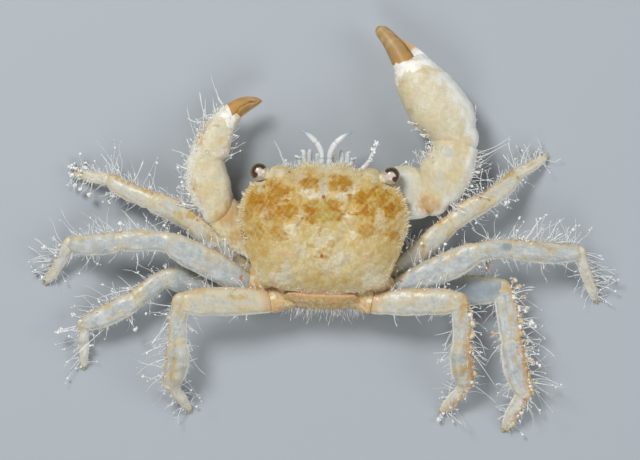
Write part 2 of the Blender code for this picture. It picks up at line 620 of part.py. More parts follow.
def sow_fringe(node, root, way, along, length):
    varied = length * chance.uniform(*FRINGE_LENGTHS)
    seeds.append((node, Lock(root, way.normalized(), along.normalized(), varied)))


def sow_fringes():
    """Short locks along the front and sides of the shield, and along the foot of the tail plate."""
    number, length, reach = FRONT_FRINGE
    front_x, front_y = zip(*CARAPACE_HALF_OUTLINE[:FRONT_POINTS])
    for i in range(number):
        x = reach * (2 * (i + 0.5) / number - 1)
        y = float(np.interp(abs(x), front_x, front_y))
        root = Vector((x, y - 0.1, CARAPACE_EDGE - FRONT_DROOP + FRINGE_RAISED[0]))
        sow_fringe("carapace", root, Vector((x * FRONT_FAN, 1, FRINGE_RISE[0])), Vector((0, 0.3, 1)), length)
    number, length, bearing, step = SIDE_FRINGE
    for sign in (-1, 1):
        for i in range(number):
            angle = math.radians(bearing - step * i)
            reach = radius_at(CARAPACE_HALF_OUTLINE, angle)
            out = Vector((sign * math.cos(angle), math.sin(angle), 0))
            root = out * reach + Vector((0, 0, CARAPACE_EDGE + FRINGE_RAISED[1]))
            sow_fringe("carapace", root, out + Vector((0, 0, FRINGE_RISE[1])), Vector((0, 1, 0)), length)
    number, length, width = TAIL_FRINGE
    top = Vector((0, TAIL_TOP_Y, TRUNK_TOP)) + tail_normal() * (GAP + TAIL_SLAB * 0.9)
    down = Vector((0, TAIL_FOOT_Y - TAIL_TOP_Y, TRUNK_BELLY - TRUNK_TOP))
    for i in range(number):
        x = TAIL_HALF_WIDTH * width * (2 * (i + 0.5) / number - 1)
        root = top + Vector((x, 0, 0)) + down * chance.uniform(*TAIL_FRINGE_DROP)
        way = Vector((x * TAIL_FAN, -1, FRINGE_RISE[2]))
        sow_fringe("abdomen_base", root, way, Vector((0, -0.4, -1)), length)


def lock_path(lock, raised, shorter):
    """Points along a lock from its sunk root to its tip, raised by an angle, and bending as it goes out."""
    up = Vector((0, 0, 1))
    way = (lock.way * math.cos(math.radians(raised)) + up * math.sin(math.radians(raised))).normalized()
    length = lock.length * shorter
    shares = [share for share, _ in LOCK_SHAPE] + [1]
    whole = length + LOCK_SUNK
    bend = lock.along * LOCK_BEND - up * LOCK_SAG
    return [lock.root + way * (whole * s - LOCK_SUNK) + bend * (length * s * s * 0.5) for s in shares]


def lock_mesh(path, along):
    rings = []
    for (share, width), here, there in zip(LOCK_SHAPE, path, path[1:]):
        way = (there - here).normalized()
        across = (along - way * along.dot(way)).normalized()
        over = way.cross(across)
        half, deep = LOCK_WIDE / 2 * width, LOCK_THICK / 2 * width
        rings.append([here + across * half, here + over * deep, here - across * half, here - over * deep])
    return loft(rings + [[path[-1]]])


def clear_of_others(path, node, trees, others):
    """Whether a lock keeps the gap to every other piece, to their locks and to the floor."""
    for near, far, width in zip(path, path[1:], LOCK_ROOM):
        steps = 6
        for i in range(steps + 1):
            place = near.lerp(far, i / steps)
            room = LOCK_WIDE / 2 * width + GAP
            if place.z < room:
                return False
            for name, tree in trees.items():
                if name != node and tree.find_nearest(place, room)[0] is not None:
                    return False
            for name, centre in others:
                if name != node and (centre - place).length < room + LOCK_WIDE / 2:
                    return False
    return True


def grow_locks():
    """Fuses every lock that has room onto its piece, raised or shortened where its neighbours need it."""
    trees = {thing.name: tree_of(thing) for thing in crab_pieces.objects}
    grown, others = {}, []
    for node, lock in seeds:
        tries = [(raised, shorter) for shorter in SHORTER_TO_TRY for raised in TURNS_TO_TRY]
        paths = (lock_path(lock, raised, shorter) for raised, shorter in tries)
        path = next((p for p in paths if clear_of_others(p, node, trees, others)), None)
        if path is None:
            continue
        grown.setdefault(node, []).append(lock_mesh(path, lock.along))
        for near, far in zip(path, path[1:]):
            others += [(node, near.lerp(far, i / 4)) for i in range(5)]
    for node, meshes in grown.items():
        fuse(bpy.data.objects[node], meshes)


def tree_of(thing):
    places = [(thing.location + vert.co) / MM for vert in thing.data.vertices]
    return BVHTree.FromPolygons(places, [tuple(face.vertices) for face in thing.data.polygons])


def stand_on_box_centre():
    """Moves the whole crab so that the middle of its box's underside is the origin."""
    bpy.context.view_layer.update()
    corners = [thing.matrix_world @ vert.co for thing in crab_pieces.objects for vert in thing.data.vertices]
    places = np.array(corners)
    low, high = places.min(axis=0), places.max(axis=0)
    crab.location = (-(low[0] + high[0]) / 2, -(low[1] + high[1]) / 2, -low[2])


chance = random.Random(LOCK_SEED)
seeds = []  # the places where locks are to grow: the node, then the lock
clear_scene()
crab_pieces = bpy.data.collections.new("pilumnus_crab")
bpy.context.scene.collection.children.link(crab_pieces)
crab = bpy.data.objects.new("crab", None)
bpy.context.scene.collection.objects.link(crab)
make_carapace()
all_hips = [make_leg(name, leg) for name, leg in LEGS.items()]
all_hips += [make_claw(name, claw) for name, claw in CLAWS.items()]
make_trunk(all_hips)
make_tail()
make_head()
sow_fringes()
grow_locks()
stand_on_box_centre()
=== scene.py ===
# A pilumnus crab as a still, life-size model: its looks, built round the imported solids.
# Lengths are millimetres in the crab's own frame: X to its right as seen from above, Y to its front, Z up.
import math

import bpy
import numpy as np
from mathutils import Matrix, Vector


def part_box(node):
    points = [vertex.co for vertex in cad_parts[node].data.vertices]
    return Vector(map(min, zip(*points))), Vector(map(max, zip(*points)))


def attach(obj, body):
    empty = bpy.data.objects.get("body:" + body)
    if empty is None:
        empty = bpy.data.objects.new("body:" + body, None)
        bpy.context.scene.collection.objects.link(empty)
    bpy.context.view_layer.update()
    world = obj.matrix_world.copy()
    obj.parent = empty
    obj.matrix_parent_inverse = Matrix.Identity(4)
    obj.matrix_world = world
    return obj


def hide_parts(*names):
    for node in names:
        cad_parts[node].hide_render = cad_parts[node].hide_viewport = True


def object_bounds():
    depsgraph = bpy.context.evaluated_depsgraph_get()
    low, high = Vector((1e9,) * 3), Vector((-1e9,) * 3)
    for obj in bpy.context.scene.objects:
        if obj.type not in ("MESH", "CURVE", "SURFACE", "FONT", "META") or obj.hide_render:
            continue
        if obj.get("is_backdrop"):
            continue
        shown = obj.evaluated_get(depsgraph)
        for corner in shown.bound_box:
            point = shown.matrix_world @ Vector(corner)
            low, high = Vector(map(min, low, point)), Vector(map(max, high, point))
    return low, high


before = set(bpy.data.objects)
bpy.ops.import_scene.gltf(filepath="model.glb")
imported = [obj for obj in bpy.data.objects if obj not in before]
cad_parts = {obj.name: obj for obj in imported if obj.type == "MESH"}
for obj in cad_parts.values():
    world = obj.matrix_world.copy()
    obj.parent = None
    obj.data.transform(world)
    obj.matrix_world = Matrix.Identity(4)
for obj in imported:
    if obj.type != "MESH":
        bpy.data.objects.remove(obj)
cadLow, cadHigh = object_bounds()
print("frame loaded with", len(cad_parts), "nodes")

metre = 0.001  # metres in a millimetre, which turns this script's lengths into the scene's
eyePlace = (7.75, 6.15, 6.5)  # the right eye's middle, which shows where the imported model's origin lies
leftEyeBox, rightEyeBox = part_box("eye_left"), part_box("eye_right")
crabPlace = np.array([
    (leftEyeBox[0].x + leftEyeBox[1].x + rightEyeBox[0].x + rightEyeBox[1].x) / 4 / metre,
    (leftEyeBox[0].y + leftEyeBox[1].y) / 2 / metre - eyePlace[1],
    0.0,
])


# Numbers and small maths

def unit(v):
    return v / np.linalg.norm(v, axis=-1, keepdims=True)


def leftOf(way):
    # the level way square to this one, on its left
    return unit(np.array([-way[1], way[0], 0.0]))


def bell(x, width):
    # 1 at nought, falling off as a normal curve does
    return np.exp(-(x / width) ** 2)


def ramp(x, low, high):
    # 0 below low and 1 above high, with a smooth rise between
    u = np.clip((x - low) / (high - low), 0, 1)
    return u * u * (3 - 2 * u)


def boxed(v, power):
    # a sine or cosine that is pushed towards a box's corners where the power is under 1
    return np.sign(v) * np.abs(v) ** power


def grid(rows, around, low=0, high=1):
    # a surface's two parameters: one from end to end and the angle round it
    turn = np.linspace(0, 2 * np.pi, around, endpoint=False)
    return np.meshgrid(np.linspace(low, high, rows), turn, indexing="ij")


def ballWays(rows, around, pole=1.55):
    # the ways from a ball's middle to the grid on its skin, which stops just short of the poles
    lat, lon = grid(rows, around, -pole, pole)
    return np.stack([np.cos(lat) * np.cos(lon), np.cos(lat) * np.sin(lon), np.sin(lat)], -1)


def waves(points, size, seed, count=7):
    # an uneven swell: sine waves of about one length, in random directions, added up
    draw = np.random.default_rng(seed)
    ways = unit(draw.normal(size=(count, 3))) / (size * draw.uniform(0.7, 1.4, (count, 1)))
    phases = draw.uniform(0, 2 * np.pi, count)
    return np.sin(2 * np.pi * points @ ways.T + phases).sum(-1) / math.sqrt(count)


def grains(points, size, seed):
    # round grains on a warped lattice: the product of three raised cosines, the last one weaker, to the power
    # of 1.5
    warp = np.stack([waves(points, size * 2.7, seed + i, 4) for i in range(3)], -1) * size * 0.3
    cells = 0.5 + 0.5 * np.cos(2 * np.pi * (points + warp) / size)
    return (cells[..., 0] * cells[..., 1] * (0.4 + 0.6 * cells[..., 2])) ** 1.5


def patches(points, places, seed, loose=1.0):
    # uneven blots of pigment, each full inside and fading over a ragged edge; a place is its middle's x and
    # y, its half breadth and half length, and its strength
    wander = [loose * (0.3 * waves(points, 1.3, seed + k) + 0.13 * waves(points, 0.45, seed + 4 + k))
              for k in (0, 1)]
    strength = np.zeros(points.shape[:-1])
    for x, y, wide, long, most in places:
        far = np.hypot((points[..., 0] - x + wander[0]) / wide, (points[..., 1] - y + wander[1]) / long)
        strength = np.maximum(strength, most * (1 - ramp(far, 0.6, 1.35)))
    return strength


def courseDistance(x, y, course):
    # how far each place is from a course of straight runs
    best = np.full(np.shape(x), 99.0)
    for (ax, ay), (bx, by) in zip(course, course[1:]):
        dx, dy = bx - ax, by - ay
        u = np.clip(((x - ax) * dx + (y - ay) * dy) / (dx * dx + dy * dy), 0, 1)
        best = np.minimum(best, np.hypot(x - ax - u * dx, y - ay - u * dy))
    return best


def smoothCurve(at, places, values):
    # a curve through the values, whose slope at each is that between its neighbours
    places, values = np.asarray(places, float), np.asarray(values, float)
    slopes = np.gradient(values, places)
    i = np.clip(np.searchsorted(places, at) - 1, 0, len(places) - 2)
    step = places[i + 1] - places[i]
    u = np.clip((at - places[i]) / step, 0, 1)
    return ((1 + 2 * u) * (1 - u) ** 2 * values[i] + u * (1 - u) ** 2 * step * slopes[i]
            + u ** 2 * (3 - 2 * u) * values[i + 1] - u ** 2 * (1 - u) * step * slopes[i + 1])


# Meshes: a part is its corners, quads, triangles and marks, the values at each corner that colour it

def inside(corners, triangles):
    # the volume within, below nought where the faces look inwards
    a, b, c = corners[triangles].transpose(1, 0, 2)
    return np.einsum("ij,ij->", a, np.cross(b, c)) / 6


def tube(rows, marks=None):
    # rows of points joined round and along, each end drawn together in its middle
    count, around = rows.shape[:2]
    corners = np.vstack([rows.reshape(-1, 3), rows[0].mean(0), rows[-1].mean(0)])
    ring, following = np.arange(around), (np.arange(around) + 1) % around
    base = np.arange(count - 1)[:, None] * around
    quads = np.stack([base + ring, base + following, base + following + around, base + ring + around], -1)
    quads = quads.reshape(-1, 4)
    end = (count - 1) * around
    first = np.stack([following, ring, np.full(around, count * around)], 1)
    last = np.stack([ring + end, following + end, np.full(around, count * around + 1)], 1)
    tris = np.vstack([first, last])
    whole = np.vstack([quads[:, :3], quads[:, [0, 2, 3]], tris])
    if inside(corners, whole) < 0:
        quads, tris = quads[:, ::-1], tris[:, ::-1]
    named = {name: np.append(v.ravel(), [v[0].mean(), v[-1].mean()]) for name, v in (marks or {}).items()}
    return {"corners": corners, "quads": quads, "tris": tris, "marks": named}


def joined(parts):
    names = sorted({name for part in parts for name in part["marks"]})
    offset, quads, tris = 0, [], []
    for part in parts:
        quads.append(part["quads"] + offset)
        tris.append(part["tris"] + offset)
        offset += len(part["corners"])
    marks = {name: np.concatenate([part["marks"].get(name, np.zeros(len(part["corners"]))) for part in parts])
             for name in names}
    whole = {"corners": np.vstack([part["corners"] for part in parts]), "quads": np.vstack(quads),
             "tris": np.vstack(tris), "marks": marks}
    if all("spread" in part for part in parts):
        whole["spread"] = np.vstack([part["spread"] for part in parts])
    return whole


def spike(root, way, length, radius, around=14, rows=12):
    # a cone with a rounded point, whose foot flares into what it grows from
    side = unit(np.cross(way, (0, 0, 1.0)))
    up = np.cross(side, way)
    t, turn = grid(rows, around)
    wide = radius * (np.sqrt(np.clip(1 - t, 0, 1)) * 0.55 + 0.45 * (1 - t)) + 0.12 * radius * bell(t, 0.2)
    ring = np.cos(turn)[..., None] * side + np.sin(turn)[..., None] * up
    return root + (t * length)[..., None] * way + ring * wide[..., None]


triangleCount = {}


def makePiece(name, parts, material, nodes=()):
    # writes the parts into one mesh in metres, in the frame's place, and hangs it on the model's one body
    whole = joined(parts)
    mesh = bpy.data.meshes.new(name)
    corners = (whole["corners"] + crabPlace) * metre
    corners[:, 2] = np.maximum(corners[:, 2], 0)  # nothing goes below the floor that it stands on
    quads, tris = whole["quads"], whole["tris"]
    mesh.vertices.add(len(corners))
    mesh.vertices.foreach_set("co", corners.astype(np.float32).ravel())
    loops = np.concatenate([quads.ravel(), tris.ravel()]).astype(np.int32)
    starts = np.concatenate([np.arange(len(quads)) * 4, len(quads) * 4 + np.arange(len(tris)) * 3])
    mesh.loops.add(len(loops))
    mesh.loops.foreach_set("vertex_index", loops)
    mesh.polygons.add(len(starts))
    mesh.polygons.foreach_set("loop_start", starts.astype(np.int32))
    mesh.update(calc_edges=True)
    mesh.shade_smooth()
    for mark, values in whole["marks"].items():
        mesh.attributes.new(mark, "FLOAT", "POINT").data.foreach_set("value", values.astype(np.float32))
    if "spread" in whole:
        bakeMap = mesh.uv_layers.new(name="OFBake")
        bakeMap.data.foreach_set("uv", whole["spread"][loops].astype(np.float32).ravel())
    mesh.materials.append(material)
    piece = bpy.data.objects.new(name, mesh)
    bpy.context.scene.collection.objects.link(piece)
    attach(piece, "root")
    if nodes:
        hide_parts(*nodes)
    triangleCount[name] = len(quads) * 2 + len(tris)


# Materials

def linear(code):
    # an sRGB hex colour as the linear one that a shader takes
    parts = np.array([int(code[i:i + 2], 16) for i in (1, 3, 5)]) / 255
    curve = np.where(parts <= 0.04045, parts / 12.92, ((parts + 0.055) / 1.055) ** 2.4)
    return (*map(float, curve), 1.0)


def newMaterial(name):
    made = bpy.data.materials.new(name)
    made.use_nodes = True
    return made, made.node_tree, made.node_tree.nodes["Principled BSDF"]


def addNode(tree, kind, settings, links=None, output=0):
    # adds a node with its settings and links, and gives back one of its outputs
    made = tree.nodes.new("ShaderNode" + kind)
    for name, value in settings.items():
        if isinstance(name, int) or name in made.inputs:
            made.inputs[name].default_value = value
        else:
            setattr(made, name, value)
    for name, source in (links or {}).items():
        tree.links.new(source, made.inputs[name])
    return made.outputs[output]


def shellMaterial(name, look):
    # chitin: two near shades mottled, clouds of other tints, then each mark's own colour over them, broken up
    # at the mottle's and the grain's size, a fine grain in the surface, light that goes a little way in and a
    # wet gloss
    made, tree, shader = newMaterial(name)
    place = addNode(tree, "TexCoord", {}, output="Object")
    mottle, speckle = [addNode(tree, "TexNoise", {"Scale": 1 / (look[size] * metre), "Detail": detail,
                                                  "Roughness": rough}, {"Vector": place})
                       for size, detail, rough in (("mottleSize", 4.0, 0.6), ("grainSize", 3.0, 0.65))]
    mixed = addNode(tree, "MapRange", {"From Min": 0.36, "From Max": 0.64}, {"Value": mottle})
    first, second = map(linear, look["shades"])
    colour = addNode(tree, "Mix", {"data_type": "RGBA", 6: first, 7: second}, {0: mixed}, 2)
    for k, (shade, size, share) in enumerate(look.get("tints", ())):
        cloud = addNode(tree, "TexNoise", {"noise_dimensions": "4D", "W": 3.7 * (k + 1), "Detail": 2.0,
                                           "Scale": 1 / (size * metre)}, {"Vector": place})
        amount = addNode(tree, "MapRange", {"From Min": 0.5, "From Max": 0.68, "To Max": share},
                         {"Value": cloud})
        colour = addNode(tree, "Mix", {"data_type": "RGBA", 7: linear(shade)}, {0: amount, 6: colour}, 2)
    spans = [addNode(tree, "Math", {"operation": "MULTIPLY_ADD", 1: look["marble"], 2: -0.5 * look["marble"]},
                     {0: noise}) for noise in (mottle, speckle)]
    broken = addNode(tree, "Math", {"operation": "ADD"}, dict(enumerate(spans)))
    for mark, (shade, least, most) in look["marks"].items():
        value = addNode(tree, "Attribute", {"attribute_name": mark}, output="Fac")
        uneven = addNode(tree, "Math", {"operation": "ADD"}, {0: value, 1: broken})
        amount = addNode(tree, "MapRange", {"From Min": least, "From Max": most, "To Max": look["cover"]},
                         {"Value": uneven})
        colour = addNode(tree, "Mix", {"data_type": "RGBA", 7: linear(shade)}, {0: amount, 6: colour}, 2)
    fleck = addNode(tree, "MapRange", {"From Min": 0.3, "From Max": 0.7, "To Min": 1 - look["fleck"],
                                       "To Max": 1 + look["fleck"]}, {"Value": speckle})
    colour = addNode(tree, "VectorMath", {"operation": "SCALE"}, {0: colour, "Scale": fleck})
    gloss = addNode(tree, "MapRange", {"To Min": look["roughness"] - 0.1, "To Max": look["roughness"] + 0.12},
                    {"Value": speckle})
    bump = addNode(tree, "Bump", {"Strength": look["bump"], "Distance": look["grainSize"] * metre * 0.25},
                   {"Height": speckle})
    for socket, source in (("Base Color", colour), ("Roughness", gloss), ("Normal", bump)):
        tree.links.new(source, shader.inputs[socket])
    for socket, value in (("IOR", 1.5), ("Specular IOR Level", look.get("specular", 0.5)),
                          ("Subsurface Weight", look["depth"]), ("Subsurface Radius", (1.0, 0.72, 0.5)),
                          ("Subsurface Scale", look["depthSize"] * metre), ("Coat Weight", look["coat"]),
                          ("Coat Roughness", 0.18)):
        shader.inputs[socket].default_value = value
    return made


carapaceShell = shellMaterial("carapaceShell", {
    # calcified shell of a live crab: cream and opaque, with ochre pigment showing from under the surface in
    # patches, and pinkish, greenish and greyish specks a fifth of a millimetre across
    "shades": ("#cdbe90", "#c2aa70"), "mottleSize": 0.9, "grainSize": 0.2, "marble": 0.5, "fleck": 0.1,
    "cover": 0.93, "specular": 0.25,
    "roughness": 0.5, "bump": 0.5, "depth": 0.08, "depthSize": 0.2, "coat": 0.12,
    "tints": (("#cf9f80", 0.4, 0.3), ("#b0ab70", 0.5, 0.3), ("#ddd6ba", 0.36, 0.5)),
    "marks": {"gold": ("#c09a3e", 0.15, 1.15), "grey": ("#c4c0b0", 0.2, 0.95),
              "pale": ("#dcd4ba", 0.15, 1.15), "salmon": ("#cf9a76", 0.2, 1.2),
              "green": ("#a68c36", 0.2, 0.95), "ochre": ("#aa7706", 0.1, 0.82),
              "deepOchre": ("#a4620c", 0.35, 1.1), "rim": ("#e2dcc6", 0.4, 1.0),
              "red": ("#a3541a", 0.35, 0.85)},
})
legShell = shellMaterial("legShell", {
    # thin uncalcified chitin: bluish and half clear over the flesh, cream where it thickens at the margins,
    # white at the inner margin partly as painted highlight
    "shades": ("#9fa8ad", "#b4b6af"), "mottleSize": 0.7, "grainSize": 0.16, "marble": 0.5, "fleck": 0.07,
    "cover": 0.85, "roughness": 0.44, "bump": 0.35, "depth": 0.25, "depthSize": 0.6, "coat": 0.2,
    "tints": (("#c0b29a", 0.5, 0.4), ("#a9b4be", 0.4, 0.5), ("#cdd0ce", 0.3, 0.5)),
    "marks": {"milky": ("#c6c9c6", 0.3, 1.3), "cream": ("#d0c3a0", 0.15, 1.2),
              "ochre": ("#b89b54", 0.15, 1.6), "tan": ("#c69c6c", 0.25, 1.1), "rim": ("#efebdd", 0.25, 1.0),
              "red": ("#bd6a2c", 0.35, 0.95), "window": ("#84919b", 0.35, 0.8),
              "horn": ("#aca56c", 0.3, 0.9)},
})
clawShell = shellMaterial("clawShell", {
    # the claws' thicker shell: dull and pearly, cream with cooler white where it is thinnest, that white
    # partly a painted highlight along the outer margins
    "shades": ("#d4ccb0", "#c9bf9d"), "mottleSize": 1.0, "grainSize": 0.17, "marble": 0.6, "fleck": 0.07,
    "cover": 0.72, "roughness": 0.5, "bump": 0.5, "depth": 0.25, "depthSize": 0.5, "coat": 0.08,
    "tints": (("#cbb2a4", 0.55, 0.4), ("#c9bd86", 0.5, 0.4), ("#dadad6", 0.4, 0.4)),
    "marks": {"cool": ("#eceeea", 0.2, 0.95), "clear": ("#b9bcb8", 0.2, 1.0),
              "yellow": ("#ceb87e", 0.15, 1.1), "salmon": ("#cc9c7a", 0.2, 1.1),
              "ochre": ("#be9354", 0.15, 1.05), "white": ("#f4f3ee", 0.3, 0.9),
              "red": ("#b0581e", 0.35, 0.85)},
})
clawHorn = shellMaterial("clawHorn", {
    # the fingers' hard tips: dense tan-brown chitin, dull with wear
    "shades": ("#ae8c5a", "#a58249"), "mottleSize": 0.9, "grainSize": 0.12, "marble": 0.3, "fleck": 0.05,
    "cover": 0.9, "roughness": 0.55, "bump": 0.3, "depth": 0.2, "depthSize": 0.4, "coat": 0.05,
    "marks": {"orange": ("#bd8a3e", 0.3, 0.9), "pale": ("#bfa882", 0.3, 0.9), "dark": ("#775426", 0.3, 0.9),
              "white": ("#f4f2ea", 0.3, 0.8)},
})
feelerSkin = shellMaterial("feelerSkin", {
    # feelers and eye stalks: soft clear cuticle over white flesh
    "shades": ("#d2d6d6", "#dedfda"), "mottleSize": 0.6, "grainSize": 0.12, "marble": 0.3, "fleck": 0.04,
    "cover": 1.0, "roughness": 0.35, "bump": 0.25, "depth": 0.5, "depthSize": 0.5, "coat": 0.25,
    "marks": {"ringed": ("#a9b4b8", 0.3, 0.9), "bluish": ("#7d94ad", 0.2, 1.1),
              "cream": ("#cabf98", 0.3, 0.9)},
})
eyeCornea = shellMaterial("eyeCornea", {
    # the eyes' cornea: hard clear glossy cuticle, grey-tan at its rim, the dark pigment cup showing through
    "shades": ("#bdb4a2", "#aea28c"), "mottleSize": 0.3, "grainSize": 0.07, "marble": 0.2, "fleck": 0.06,
    "cover": 1.0, "roughness": 0.2, "bump": 0.12, "depth": 0.2, "depthSize": 0.2, "coat": 0.7,
    "marks": {"olive": ("#6d5c3e", 0.2, 0.7), "dark": ("#3d2a1e", 0.35, 0.8),
              "maroon": ("#542e24", 0.35, 0.9), "tongue": ("#cfc3b4", 0.35, 0.8)},
})
print("materials made")


# Limbs

limbs = {
    "legLeft1": {"root": (-8.7, -5.9), "headings": (140, 153, 156, 170), "lengths": (9.0, 5.5, 5.7, 4.6),
                 "breadths": (2.7, 2.6, 2.1, 1.3), "heights": (2.6, 4.0, 4.2, 2.6)},
    "legLeft2": {"root": (-8.6, -7.2), "headings": (154, 180, 185, 239), "lengths": (10.6, 5.8, 6.1, 5.7),
                 "breadths": (3.3, 2.5, 2.5, 1.4), "heights": (3.8, 6.0, 5.6, 3.0)},
    "legLeft3": {"root": (-7.6, -7.9), "headings": (174, 217, 207, 270), "lengths": (10.9, 4.4, 6.9, 5.4),
                 "breadths": (3.1, 2.2, 2.5, 1.2), "heights": (2.0, 3.0, 3.5, 2.4)},
    "legLeft4": {"root": (-6.0, -9.1), "headings": (182, 266, 262, 307), "lengths": (10.4, 4.7, 5.4, 3.9),
                 "breadths": (3.3, 2.2, 2.8, 1.3), "heights": (4.6, 6.2, 5.4, 2.8)},
    "legRight1": {"root": (8.4, -5.9), "headings": (45, 34, 43, 32), "lengths": (9.5, 4.9, 4.7, 4.6),
                  "breadths": (2.6, 2.4, 2.1, 1.3), "heights": (2.6, 4.0, 4.2, 2.6)},
    "legRight2": {"root": (8.7, -7.4), "headings": (27, 8, -1, -67), "lengths": (10.6, 4.0, 8.3, 6.4),
                  "breadths": (3.3, 2.3, 2.5, 1.4), "heights": (3.8, 6.0, 5.6, 3.0)},
    "legRight3": {"root": (7.6, -7.6), "headings": (3, -77, -75, -115), "lengths": (13.7, 6.0, 6.7, 5.0),
                  "breadths": (3.6, 2.6, 2.8, 1.6), "heights": (1.9, 2.9, 3.4, 2.4)},
    "legRight4": {"root": (6.0, -8.9), "headings": (3, -84, -83, -127), "lengths": (10.2, 4.9, 5.2, 4.4),
                  "breadths": (3.1, 2.2, 2.6, 1.3), "heights": (4.6, 6.2, 5.4, 2.8)},
}
trunkMiddle = 3.6  # mm from the floor to the middle of the trunk
legPieces = ("merus", "carpus", "propodus", "dactylus")
legWidths = {  # half breadth along each piece, as a share of the widest, at these shares of its length
    "places": (0, 0.12, 0.35, 0.6, 0.85, 1),
    "merus": (0.8, 0.86, 0.98, 1.0, 0.93, 0.86), "carpus": (0.86, 0.9, 0.97, 1.0, 0.98, 0.92),
    "propodus": (0.92, 0.97, 1.0, 0.97, 0.86, 0.78), "dactylus": (0.98, 1.0, 0.96, 0.86, 0.62, 0.2),
}
legBow = {"merus": 0.0, "carpus": -0.08, "propodus": 0.1, "dactylus": 0.04}
legFlat = {"merus": 0.5, "carpus": 0.6, "propodus": 0.62, "dactylus": 0.72}


def limbPath(limb, tipHeight):
    turns = np.radians(limb["headings"])
    steps = np.stack([np.cos(turns), np.sin(turns)], 1) * np.array(limb["lengths"])[:, None]
    plan = np.vstack([limb["root"], np.array(limb["root"]) + np.cumsum(steps, 0)])
    return np.column_stack([plan, [*limb["heights"], tipHeight]])


def hipStart(limb):
    # the place inside the trunk where a limb's stub begins
    x, y = limb["root"]
    return np.array([0.42 * x, 0.85 * y, 0.5 * (limb["heights"][0] + trunkMiddle)])


def jointPlanes(points, before):
    ways = np.vstack([unit(points[0] - before), unit(np.diff(points, axis=0))])
    return np.vstack([unit(ways[:-1] + ways[1:]), ways[-1]])


def limbPiece(points, planes, number, outer, widths, flats, boxy=2.2):
    along = unit(points[number + 1] - points[number])
    side = leftOf(along)
    ends = (planes[number], planes[number + 1])
    bends = [2 * math.degrees(math.acos(min(1.0, along @ plane))) for plane in ends]
    return {"start": points[number], "end": points[number + 1], "along": along, "side": side,
            "up": np.cross(along, side), "planes": ends, "mitre": [1 - ramp(bend, 30, 62) for bend in bends],
            "outer": outer, "widths": widths, "flats": flats, "boxy": boxy, "tip": 1.7 * (number == 3)}


def limbSkin(piece, t, turn, share=1.0, push=0.0):
    # across the axis an oval between the piece's two margins. At a slight bend its ends are sheared into the
    # plane of the joint; at a sharp one they stay square, and the next piece's ball makes the knee.
    # turn goes from the outer margin over the top to the inner one and on below
    c, s = np.cos(turn), np.sin(turn)
    places, left, right = piece["widths"]
    leftEdge, rightEdge = smoothCurve(t, places, left), smoothCurve(t, places, right)
    half, middle = (leftEdge + rightEdge) / 2, (leftEdge - rightEdge) / 2
    power = 2 / piece["boxy"]
    flat = np.interp(t, (0, 0.25, 0.75, 1), piece["flats"])
    across = piece["outer"] * half * share * boxed(c, power) + middle
    over = half * flat * share * boxed(s, power)
    reach = across[..., None] * piece["side"] + over[..., None] * piece["up"]
    slide = push
    for near, plane, mitre in zip((t, 1 - t), piece["planes"], piece["mitre"]):
        slide = slide - mitre * np.clip(1 - near / 0.35, 0, 1) * (reach @ plane) / (piece["along"] @ plane)
    run = t * np.linalg.norm(piece["end"] - piece["start"]) + slide
    return piece["start"] + reach + run[..., None] * piece["along"]


def outward(piece, turn):
    # the way out of a limb piece's skin
    return np.cos(turn)[..., None] * piece["outer"] * piece["side"] + np.sin(turn)[..., None] * piece["up"]


def roughened(piece, points, t, turn):
    # a slow swell all over, grains along the outer margin, and a low ridge on both margins
    body = np.clip(np.minimum(t, 1 - t) / 0.06, 0, 1)
    margin = np.clip(np.cos(turn), 0, 1) ** 1.5
    lift = 0.04 * waves(points, 1.7, piece["seed"]) * piece["swell"]
    lift = lift + piece["grain"] * grains(points, piece["grainSize"], piece["seed"] + 9) * (0.25 + margin)
    lift = lift + 0.05 * (bell(np.cos(turn) - 1, 0.03) + bell(np.cos(turn) + 1, 0.03))
    return points + (lift * body)[..., None] * outward(piece, turn)


def limbRows(piece, length, fine):
    # rows along a piece: a ball that turns in the piece before, the body, and a lip that closes round the
    # next piece's ball; the last piece ends in a blunt point
    half = [(left + right) / 2 for left, right in zip(*piece["widths"][1:])]
    neck = piece.get("neck", 1.0)
    headShare = 1 - neck * (0.015 + 0.06 * piece["mitre"][0])
    bow = np.linspace(0.12, 1, 7)[:-1] * np.pi / 2
    body = np.linspace(0, 1, max(14, int(length / fine)))
    body = body - 0.09 * np.sin(2 * np.pi * body)  # closer rows near the joints
    if piece["tip"]:
        close = np.linspace(0, 1, 7)[1:] * np.pi / 2
        lip, lipPush = np.cos(close) * 0.98 + 0.02, np.sin(close) * half[-1] * piece["tip"]
    else:
        lip, lipPush = np.array([0.985, 0.955, 0.9, 0.78, 0.5]), np.array([0.03, 0.045, 0.04, 0.0, -0.05])
    shoulder = 1 - (1 - headShare) * (1 - np.clip(body * length / 0.4, 0, 1)) ** 2
    notch = 1 - 0.03 * neck * bell((1 - body) * length, 0.12) * (0 if piece["tip"] else 1)
    t = np.concatenate([bow * 0, body, lip * 0 + 1])
    share = np.concatenate([headShare * np.sin(bow), shoulder * notch, lip * notch[-1]])
    push = np.concatenate([-half[0] * headShare * np.cos(bow), 0 * body, lipPush])
    return t, share, push


def limbShell(piece, around, fine):
    length = np.linalg.norm(piece["end"] - piece["start"])
    t, share, push = limbRows(piece, length, fine)
    turn = np.linspace(0, 2 * np.pi, around, endpoint=False)
    t, turn = np.meshgrid(t, turn, indexing="ij")
    points = limbSkin(piece, t, turn, share[:, None] + 0 * t, push[:, None] + 0 * t)
    return roughened(piece, points, t, turn), t, turn


def jointEnds(table):
    # what two neighbouring pieces share at their joint: each one's first and last value, drawn together
    return [(table[k - 1][-1] + table[k][0]) / 2 for k in range(1, len(table))]


